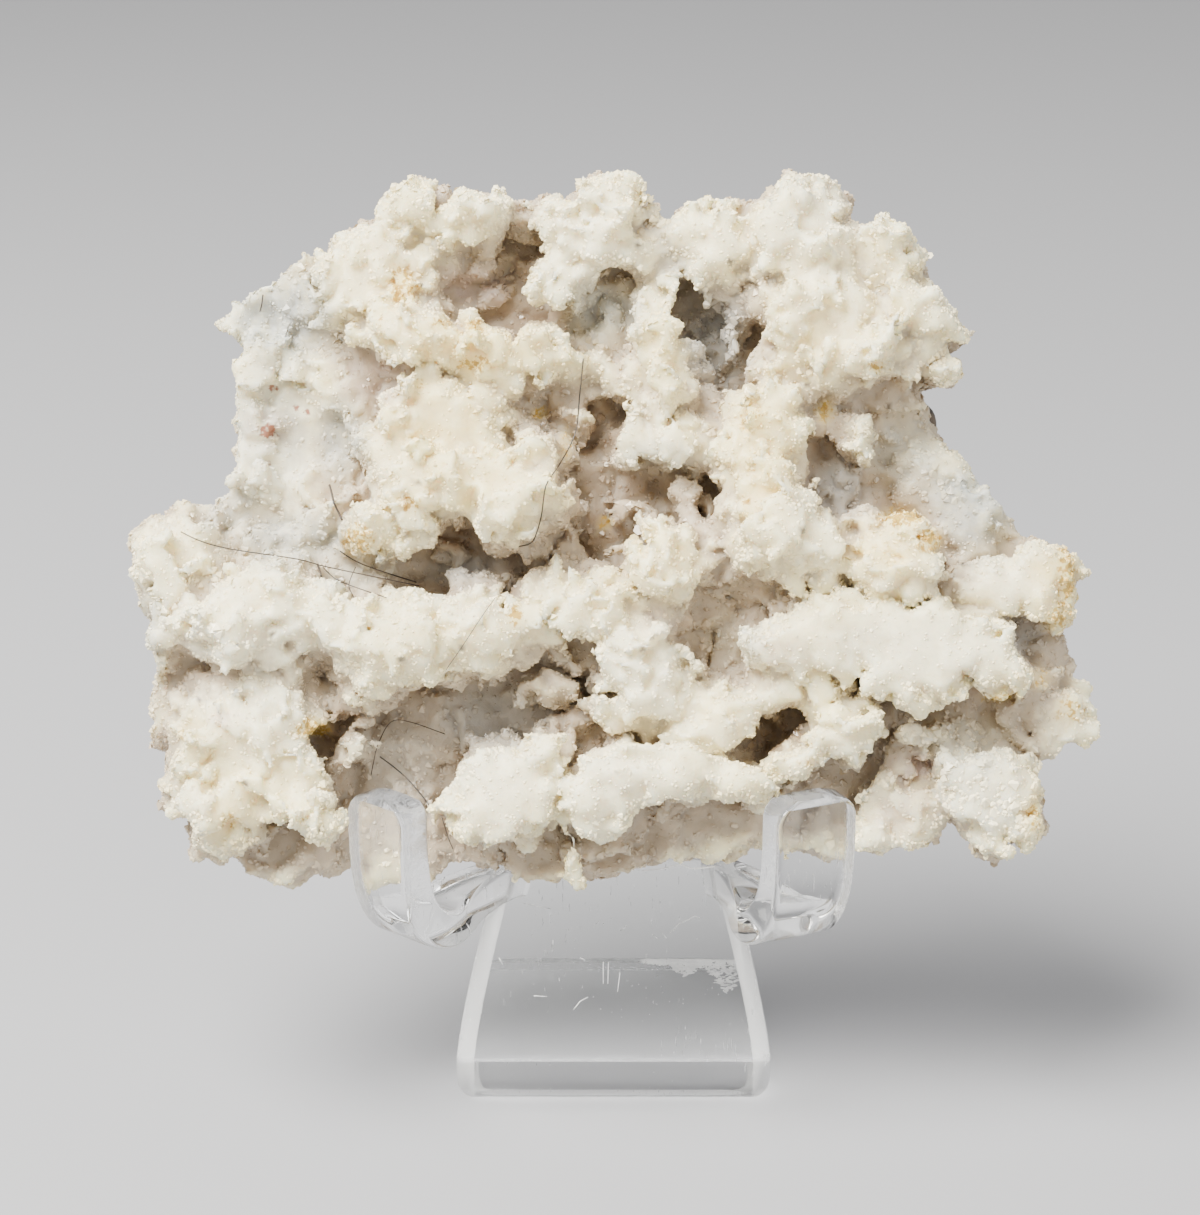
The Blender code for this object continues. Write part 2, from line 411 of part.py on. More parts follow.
def keep_largest_body(mesh):
    work = bmesh.new()
    work.from_mesh(mesh)
    left = set(work.verts)
    bodies = []
    while left:
        start = left.pop()
        body = {start}
        front = [start]
        while front:
            vert = front.pop()
            for edge in vert.link_edges:
                other = edge.other_vert(vert)
                if other not in body:
                    body.add(other)
                    front.append(other)
        left -= body
        bodies.append(body)
    bodies.sort(key=len)
    for body in bodies[:-1]:
        bmesh.ops.delete(work, geom=list(body), context="VERTS")
    work.to_mesh(mesh)
    work.free()


def replace_mesh(item):
    mesh = evaluated_mesh(item)
    item.modifiers.clear()
    item.data = mesh


def face_outward(item):
    work = bmesh.new()
    work.from_mesh(item.data)
    bmesh.ops.recalc_face_normals(work, faces=work.faces)
    if work.calc_volume(signed=True) < 0.0:
        bmesh.ops.reverse_faces(work, faces=work.faces)
    work.to_mesh(item.data)
    work.free()


def roughen(item):
    """Cloudy lumps push the surface in and out along its normals."""
    clouds = bpy.data.textures.new("lumps", "CLOUDS")
    clouds.noise_scale = LUMP_SIZE * MM
    clouds.noise_depth = 1
    displace = item.modifiers.new("lumps", "DISPLACE")
    displace.texture = clouds
    displace.texture_coords = "LOCAL"
    displace.strength = LUMP_STRENGTH * MM
    displace.mid_level = 0.5


def build_stone(parts, helpers, easel_clearance):
    plate = outline_solid("stone_plate", SILHOUETTE, STONE_BACK, PLATEAU, helpers)
    swellings = [swelling_solid(index, item, helpers) for index, item in enumerate(SWELLINGS)]
    body = join_meshes("stone_body", [plate] + swellings, helpers)
    add_remesh(body, VOXEL)
    replace_mesh(body)
    for name, level, points in RECESSES:
        cutter = outline_solid(name, points, level, PLATEAU + BEYOND, helpers)
        cut_away(body, cutter, name)
    replace_mesh(body)
    pieces = [body]
    for name, low, high, points in RIDGES:
        pieces.append(outline_solid(name, points, low, high, helpers))
    for index, lump in enumerate(FLOOR_LUMPS):
        pieces.append(swelling_solid(index, lump, helpers))
    stone = join_meshes("chalcedony_cluster", pieces, parts)
    add_remesh(stone, VOXEL)
    smooth = stone.modifiers.new("soften", "SMOOTH")
    smooth.factor = 0.5
    smooth.iterations = 2
    roughen(stone)
    replace_mesh(stone)
    add_remesh(stone, VOXEL)
    replace_mesh(stone)
    keep_largest_body(stone.data)
    stone.matrix_world = stone_matrix()
    back = outline_solid("back_cut", square(BEYOND), STONE_BACK - BEYOND, STONE_BACK, helpers)
    back.matrix_world = stone_matrix()
    for cutter in [back] + easel_clearance:
        cut_away(stone, cutter, cutter.name)
    replace_mesh(stone)
    keep_largest_body(stone.data)
    thin = stone.modifiers.new("thin_out", "DECIMATE")
    thin.ratio = STONE_FACES / sum(len(face.vertices) - 2 for face in stone.data.polygons)
    replace_mesh(stone)
    finish(stone, "white_chalcedony", (0.80, 0.76, 0.66), 0.45)
    return stone


def square(size):
    return ((-size, -size), (size, -size), (size, size), (-size, size))


def build_rind(parts):
    """A thin, flat rind of dark volcanic rock, its face a hair's breadth behind the stone."""
    rind = outline_solid("basalt_rind", RIND_OUTLINE, RIND_BACK, RIND_FRONT, parts)
    rind.matrix_world = stone_matrix()
    bevel = rind.modifiers.new("worn_edges", "BEVEL")
    bevel.width = RIND_WEAR * MM
    bevel.segments = 1
    bevel.limit_method = "ANGLE"
    bevel.angle_limit = math.radians(60.0)
    finish(rind, "black_basalt", (0.02, 0.02, 0.022), 0.7)
    return rind


def finish(item, name, color, roughness, transmission=0.0, ior=1.5):
    item.data.materials.clear()
    item.data.materials.append(new_material(name, color, roughness, transmission, ior))


def strip(name, centres, halves, across, thickness, collection):
    """A bent strip of sheet: centre points of its middle, half widths, and the way across."""
    mesh = bpy.data.meshes.new(name)
    work = bmesh.new()
    bmesh.ops.create_grid(work, x_segments=len(centres) - 1, y_segments=STRIP_COLUMNS, size=0.5)
    work.verts.ensure_lookup_table()
    order = sorted(work.verts, key=lambda vert: (round(vert.co.x, 4), round(vert.co.y, 4)))
    for index, vert in enumerate(order):
        row, column = divmod(index, STRIP_COLUMNS + 1)
        reach = halves[row] * (2.0 * column / STRIP_COLUMNS - 1.0)
        vert.co = (centres[row] + across * reach) * MM
    bmesh.ops.recalc_face_normals(work, faces=work.faces)
    work.to_mesh(mesh)
    work.free()
    item = add_object(name, mesh, collection)
    solidify = item.modifiers.new("sheet", "SOLIDIFY")
    solidify.thickness = thickness * MM
    solidify.offset = 0.0
    solidify.use_even_offset = True
    return item


def rounded_end(half, radius, distance):
    """Half width near a strip's end, whose corners are rounded."""
    if distance >= radius:
        return half
    drop = radius - math.sqrt(max(radius ** 2 - (radius - distance) ** 2, 0.0))
    return max(half - drop, 0.3)


def smooth_path(points, steps):
    """A Catmull-Rom curve through the points."""
    path = []
    for index in range(len(points) - 1):
        before = points[max(index - 1, 0)]
        start = points[index]
        end = points[index + 1]
        after = points[min(index + 2, len(points) - 1)]
        for step in range(steps):
            t = step / steps
            path.append(0.5 * (
                2 * start + (end - before) * t
                + (2 * before - 5 * start + 4 * end - after) * t ** 2
                + (3 * start - before - 3 * end + after) * t ** 3))
    path.append(points[-1])
    return path


def panel_half(z):
    """Half width of the leaning panel and, above the shoulder, of the back rest."""
    if z <= STRAIGHT_Z:
        return FOOT_HALF
    if z <= SHOULDER_Z:
        share = (z - STRAIGHT_Z) / (SHOULDER_Z - STRAIGHT_Z)
        return FOOT_HALF + (SHOULDER_HALF - FOOT_HALF) * share ** WAIST_POWER
    share = min((z - SHOULDER_Z) / SHOULDER_FILLET, 1.0)
    return PRONG_HALF + (SHOULDER_HALF - PRONG_HALF) * (1.0 - math.sqrt(1.0 - (1.0 - share) ** 2))


def panel_front_y(z):
    """Front face of the leaning panel at a height."""
    lean = math.radians(LEAN)
    fold = FOLD_RADIUS + SHEET / 2
    return fold * (1.0 - math.cos(lean)) + math.tan(lean) * (z - fold * (1.0 + math.sin(lean)))


def build_spine(thickness, collection):
    """Base plate, front fold, leaning panel and back rest, as one strip."""
    lean = math.radians(LEAN)
    fold = FOLD_RADIUS + SHEET / 2
    centres = []
    halves = []
    for distance in (0.0, 0.3, 0.8, 1.4, FOOT_CORNER, 8.0, BASE_DEPTH - fold):
        centres.append(Vector((0.0, BASE_DEPTH - distance, SHEET / 2)))
        half = REAR_HALF + (FOOT_HALF - REAR_HALF) * distance / (BASE_DEPTH - fold)
        halves.append(rounded_end(half, FOOT_CORNER, distance))
    for step in range(1, FOLD_STEPS + 1):
        around = 1.5 * math.pi - (math.pi / 2 + lean) * step / FOLD_STEPS
        centres.append(Vector((
            0.0, fold + FOLD_RADIUS * math.cos(around), fold + FOLD_RADIUS * math.sin(around))))
        halves.append(FOOT_HALF)
    start = centres[-1]
    up = Vector((0.0, math.sin(lean), math.cos(lean)))
    length = (PRONG_TOP_Z - start.z) / up.z
    shoulder = (SHOULDER_Z - start.z) / up.z
    stops = [shoulder * share for share in (0.2, 0.4, 0.6, 0.8, 1.0)]
    stops += [shoulder + rise for rise in (0.15, 0.4, 0.8, 1.4, 2.1, 2.8)]
    stops += [length - rest for rest in (PRONG_CORNER, 1.8, 1.0, 0.4, 0.1)]
    for stop in stops:
        centre = start + up * stop
        centres.append(centre)
        halves.append(rounded_end(panel_half(centre.z), PRONG_CORNER, length - stop))
    across = Vector((1.0, 0.0, 0.0))
    return strip("easel_spine", centres, halves, across, thickness, collection)


def build_arm(arm, thickness, collection):
    """A narrow neck that leaves the shoulder, widens and turns up into a lip."""
    name, side, root_x, heading, yaw, lip_half = arm
    heading = math.radians(heading)
    yaw = math.radians(yaw)
    top = ARM_TOP_Z - SHEET / 2
    root = Vector((side * root_x, panel_front_y(top), 0.0))
    out = Vector((side * math.sin(heading), -math.cos(heading), 0.0))
    reach = LIP_FORWARD / math.cos(heading)
    # The arm's route: how far out from the panel, and the height of its middle
    rises = (
        (-1.9, top - 0.9), (-0.6, top - 0.2), (1.0, top), (reach * 0.4, top - 0.25 * ARM_DIP),
        (reach - 4.4, top - ARM_DIP), (reach - 1.9, top - 0.1), (reach - 0.5, top + 2.3),
        (reach, LIP_TOP_Z - 4.6), (reach, LIP_TOP_Z))
    route = [root + out * forward + Vector((0.0, 0.0, z)) for forward, z in rises]
    centres = smooth_path(route, ARM_STEPS)
    lengths = [0.0]
    for before, after in zip(centres, centres[1:]):
        lengths.append(lengths[-1] + (after - before).length)
    halves = []
    for at in lengths:
        share = min(max((at - NECK_LENGTH) / (reach - 1.5), 0.0), 1.0)
        flare = share * share * (3.0 - 2.0 * share)
        half = NECK_HALF + (lip_half - NECK_HALF) * flare
        halves.append(rounded_end(half, LIP_CORNER, lengths[-1] - at))
    across = Vector((side * math.cos(yaw), math.sin(yaw), 0.0))
    return strip(f"easel_arm_{name}", centres, halves, across, thickness, collection)


def build_easel(parts, helpers):
    spine = build_spine(SHEET, helpers)
    arms = [build_arm(arm, SHEET, helpers) for arm in ARMS]
    for item in [spine] + arms:
        replace_mesh(item)
        face_outward(item)
    for arm in arms:
        union = spine.modifiers.new(arm.name, "BOOLEAN")
        union.operation = "UNION"
        union.solver = "EXACT"
        union.object = arm
    replace_mesh(spine)
    easel = join_meshes("acrylic_easel", [spine], parts)
    for arm in arms:
        bpy.data.objects.remove(arm, do_unlink=True)
    easel.matrix_world = whole_object_shift()
    bevel = easel.modifiers.new("polished_edges", "BEVEL")
    bevel.width = EDGE_POLISH * MM
    bevel.segments = 2
    bevel.limit_method = "ANGLE"
    bevel.angle_limit = math.radians(50.0)
    finish(easel, "clear_acrylic", (0.97, 0.98, 0.98), 0.04, 1.0, 1.49)
    easel.data.shade_smooth()
    easel.data.set_sharp_from_angle(angle=math.radians(35.0))
    return easel


def easel_clearances(helpers):
    """Copies of the easel's strips, thicker by the gap the stone keeps, that cut the stone."""
    thick = SHEET + 2 * FIT_GAP
    cutters = [build_spine(thick, helpers)]
    for name, side, root_x, heading, yaw, lip_half in ARMS:
        wider = (name, side, root_x, heading, yaw, lip_half + FIT_GAP)
        cutters.append(build_arm(wider, thick, helpers))
    for cutter in cutters:
        replace_mesh(cutter)
        face_outward(cutter)
        cutter.matrix_world = whole_object_shift()
        cutter.name = f"{cutter.name}_clearance"
    return cutters


def main():
    remove_everything()
    parts = new_collection("chalcedony_cluster_on_easel")
    helpers = new_collection("cutters")
    build_easel(parts, helpers)
    build_rind(parts)
    build_stone(parts, helpers, easel_clearances(helpers))


main()
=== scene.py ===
# %% [markdown]
# A drusy chalcedony on its clear easel.
#
# The object is a plate of white chalcedony, coated all over with fine crystals, on a thin rind
# of dark rock. It leans on an easel bent from one sheet of clear acrylic. This lesson builds the
# finish of each piece around a fixed frame: the frame says where every piece is, and the pieces
# made here only have to look like the real ones.

# %% Load the frame
import math

import bmesh
import bpy
import numpy as np
from mathutils import Matrix, Vector
from mathutils.bvhtree import BVHTree


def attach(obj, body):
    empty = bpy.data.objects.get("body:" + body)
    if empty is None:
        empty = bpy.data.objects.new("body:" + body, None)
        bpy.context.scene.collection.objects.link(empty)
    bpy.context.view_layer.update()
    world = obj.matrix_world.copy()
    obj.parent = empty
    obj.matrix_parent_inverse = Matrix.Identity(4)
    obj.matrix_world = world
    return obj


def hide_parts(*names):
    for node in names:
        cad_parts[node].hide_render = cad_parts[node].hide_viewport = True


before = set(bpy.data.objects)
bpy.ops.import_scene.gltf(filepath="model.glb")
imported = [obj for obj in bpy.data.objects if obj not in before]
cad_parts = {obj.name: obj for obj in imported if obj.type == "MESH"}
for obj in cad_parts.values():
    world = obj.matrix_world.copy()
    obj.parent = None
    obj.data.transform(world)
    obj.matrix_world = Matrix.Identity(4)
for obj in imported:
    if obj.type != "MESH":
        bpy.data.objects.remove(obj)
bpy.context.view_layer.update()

MM = 0.001
print("frame nodes:", sorted(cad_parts))

# %% [markdown]
# The stone leans back on its easel, so it is easiest to describe in a frame of its own: u runs
# to the right across the plate, w runs up along it, and n stands out of the plate towards the
# viewer. One small matrix takes those three numbers to the world. The camera looks straight
# along n, from 19 degrees above the floor, so an outline drawn in u and w is the outline seen.

# %% The stone's own frame
LEAN = math.radians(19.0)
STONE_MIDDLE = Vector((0.065, -0.43, 45.3))     # mm, where u, w and n are all 0
TO_WORLD = Matrix((
    (1.0, 0.0, 0.0),
    (0.0, math.sin(LEAN), -math.cos(LEAN)),
    (0.0, math.cos(LEAN), math.sin(LEAN))))


def world_points(points):
    """Rows of u, w, n in mm become rows of x, y, z in metres."""
    turned = np.asarray(points, float) @ np.array(TO_WORLD).T
    return (turned + np.array(STONE_MIDDLE)) * MM


def stone_points(points):
    """Rows of x, y, z in metres become rows of u, w, n in mm."""
    return (np.asarray(points, float) / MM - np.array(STONE_MIDDLE)) @ np.array(TO_WORLD)


# %% [markdown]
# The camera comes first, because everything else is judged through it. It stands about 25 cm
# away with a long lens, which keeps the easel's lines nearly parallel.

# %% Camera
IMAGE_WIDTH = 1200
FOCAL_PIXELS = 3300
SENSOR = 36.0
CAMERA_DISTANCE = 249.06        # mm, along the view, to the stone's middle
CAMERA_BELOW = 5.62             # mm the camera's axis runs below the stone's middle
CAMERA_LEFT = 1.057             # mm it stands to the left
CLIPPING = (0.01, 20.0)         # metres


def add_object(name, data):
    """A new object in the scene, at the origin."""
    thing = bpy.data.objects.new(name, data)
    bpy.context.scene.collection.objects.link(thing)
    return thing


def make_camera():
    data = bpy.data.cameras.new("camera")
    data.sensor_fit = "HORIZONTAL"
    data.sensor_width = SENSOR
    data.lens = FOCAL_PIXELS / IMAGE_WIDTH * SENSOR
    data.clip_start, data.clip_end = CLIPPING
    camera = add_object("camera", data)
    away = TO_WORLD @ Vector((0.0, 0.0, 1.0))
    up = TO_WORLD @ Vector((0.0, 1.0, 0.0))
    spot = STONE_MIDDLE + away * CAMERA_DISTANCE - up * CAMERA_BELOW
    spot.x -= CAMERA_LEFT
    camera.location = spot * MM
    camera.rotation_euler = (math.pi / 2 - LEAN, 0.0, 0.0)
    bpy.context.scene.camera = camera
    return camera


camera = make_camera()
print("camera at", [round(v, 4) for v in camera.location], "lens", camera.data.lens)

# %% [markdown]
# The stone's masses. Their outlines are drawn from the front: the whole silhouette, the
# recesses between the masses with the level of each floor, and the ridges that stand over their
# neighbours. Swellings say how high each mass bulges, and where low lumps lie on the floors.

# %% Outlines of the stone
# The outline of the stone as seen along n, clockwise from its left end, in millimetres
SILHOUETTE = (
    (-36.2, -1.2), (-35.9, -0.5), (-35.0, 0.6), (-34.0, 0.9), (-33.2, 1.5), (-32.4, 1.9),
    (-31.2, 1.7), (-30.0, 2.7), (-29.3, 3.1), (-29.0, 4.2), (-28.5, 5.0), (-28.7, 6.2),
    (-28.4, 7.0), (-28.8, 9.3), (-28.0, 10.3), (-28.3, 11.3), (-27.8, 12.2), (-27.4, 14.4),
    (-28.3, 14.9), (-29.7, 15.9), (-29.5, 16.6), (-28.0, 18.0), (-26.7, 18.4), (-25.4, 18.4),
    (-25.1, 19.4), (-24.0, 20.0), (-23.0, 20.6), (-21.8, 20.7), (-20.8, 21.8), (-18.8, 23.1),
    (-17.6, 23.7), (-16.8, 24.8), (-16.7, 25.3), (-15.4, 26.4), (-14.7, 26.6), (-14.1, 26.3),
    (-13.3, 25.6), (-12.5, 25.5), (-11.9, 25.0), (-10.5, 25.3), (-9.0, 25.3), (-8.2, 24.7),
    (-7.2, 24.7), (-6.7, 25.2), (-4.8, 24.9), (-3.0, 25.0), (-2.6, 25.7), (-2.0, 26.3),
    (-1.0, 26.4), (-0.4, 26.0), (0.5, 26.0), (1.8, 26.0), (2.2, 25.2), (2.5, 24.2),
    (2.9, 23.2), (3.5, 22.9), (4.2, 23.0), (4.8, 24.2), (5.7, 24.6), (6.2, 24.2), (8.2, 24.6),
    (10.6, 24.6), (11.2, 25.2), (12.5, 26.0), (13.8, 26.2), (15.8, 26.1), (16.8, 25.5),
    (17.4, 24.7), (17.6, 23.6), (18.0, 22.7), (19.0, 22.8), (19.4, 23.3), (20.3, 23.1),
    (21.9, 22.6), (22.2, 21.7), (22.8, 20.9), (22.6, 20.4), (23.0, 19.9), (23.9, 18.0),
    (25.3, 16.2), (26.6, 14.9), (26.2, 14.5), (25.0, 13.9), (24.9, 13.2), (25.8, 12.9),
    (26.1, 12.0), (25.8, 11.5), (23.2, 11.1), (23.6, 9.6), (24.3, 7.9), (25.0, 6.4),
    (26.0, 5.1), (27.2, 3.8), (28.2, 2.6), (29.0, 1.2), (30.1, -0.3), (30.5, -1.0),
    (31.3, -1.1), (32.0, -0.7), (32.4, -1.3), (33.4, -1.5), (34.5, -1.9), (34.9, -2.8),
    (34.5, -3.5), (34.4, -4.7), (33.6, -6.0), (33.5, -7.1), (34.4, -9.5), (35.0, -10.8),
    (35.8, -11.8), (36.0, -14.2), (35.5, -15.9), (34.0, -15.8), (32.0, -17.3), (31.6, -19.9),
    (32.3, -21.3), (32.5, -22.2), (31.3, -23.3), (30.4, -23.2), (29.9, -22.6), (29.3, -24.4),
    (28.6, -24.6), (28.0, -24.1), (27.4, -23.0), (26.3, -22.5), (25.0, -21.3), (24.2, -23.0),
    (23.6, -23.5), (20.8, -23.6), (19.3, -24.4), (18.5, -24.0), (17.0, -24.5), (15.5, -24.5),
    (14.5, -24.1), (12.0, -24.3), (10.4, -23.6), (9.4, -24.1), (7.5, -24.7), (3.8, -25.0),
    (0.0, -25.8), (-2.8, -26.0), (-5.3, -26.2), (-6.0, -25.7), (-8.2, -25.4), (-10.0, -25.0),
    (-12.0, -25.3), (-14.0, -26.2), (-15.3, -26.6), (-18.0, -25.8), (-19.7, -25.4),
    (-22.7, -25.3), (-25.0, -26.4), (-26.2, -26.3), (-27.0, -25.3), (-28.4, -24.0),
    (-30.2, -24.4), (-31.3, -24.1), (-31.7, -22.0), (-31.4, -21.2), (-33.4, -20.5),
    (-33.9, -19.7), (-33.8, -18.5), (-33.2, -16.8), (-34.2, -16.6), (-34.7, -15.8),
    (-34.0, -14.2), (-34.5, -13.0), (-34.7, -11.0), (-34.1, -9.7), (-34.6, -8.8),
    (-34.8, -7.0), (-35.3, -5.3), (-35.8, -2.8),
)

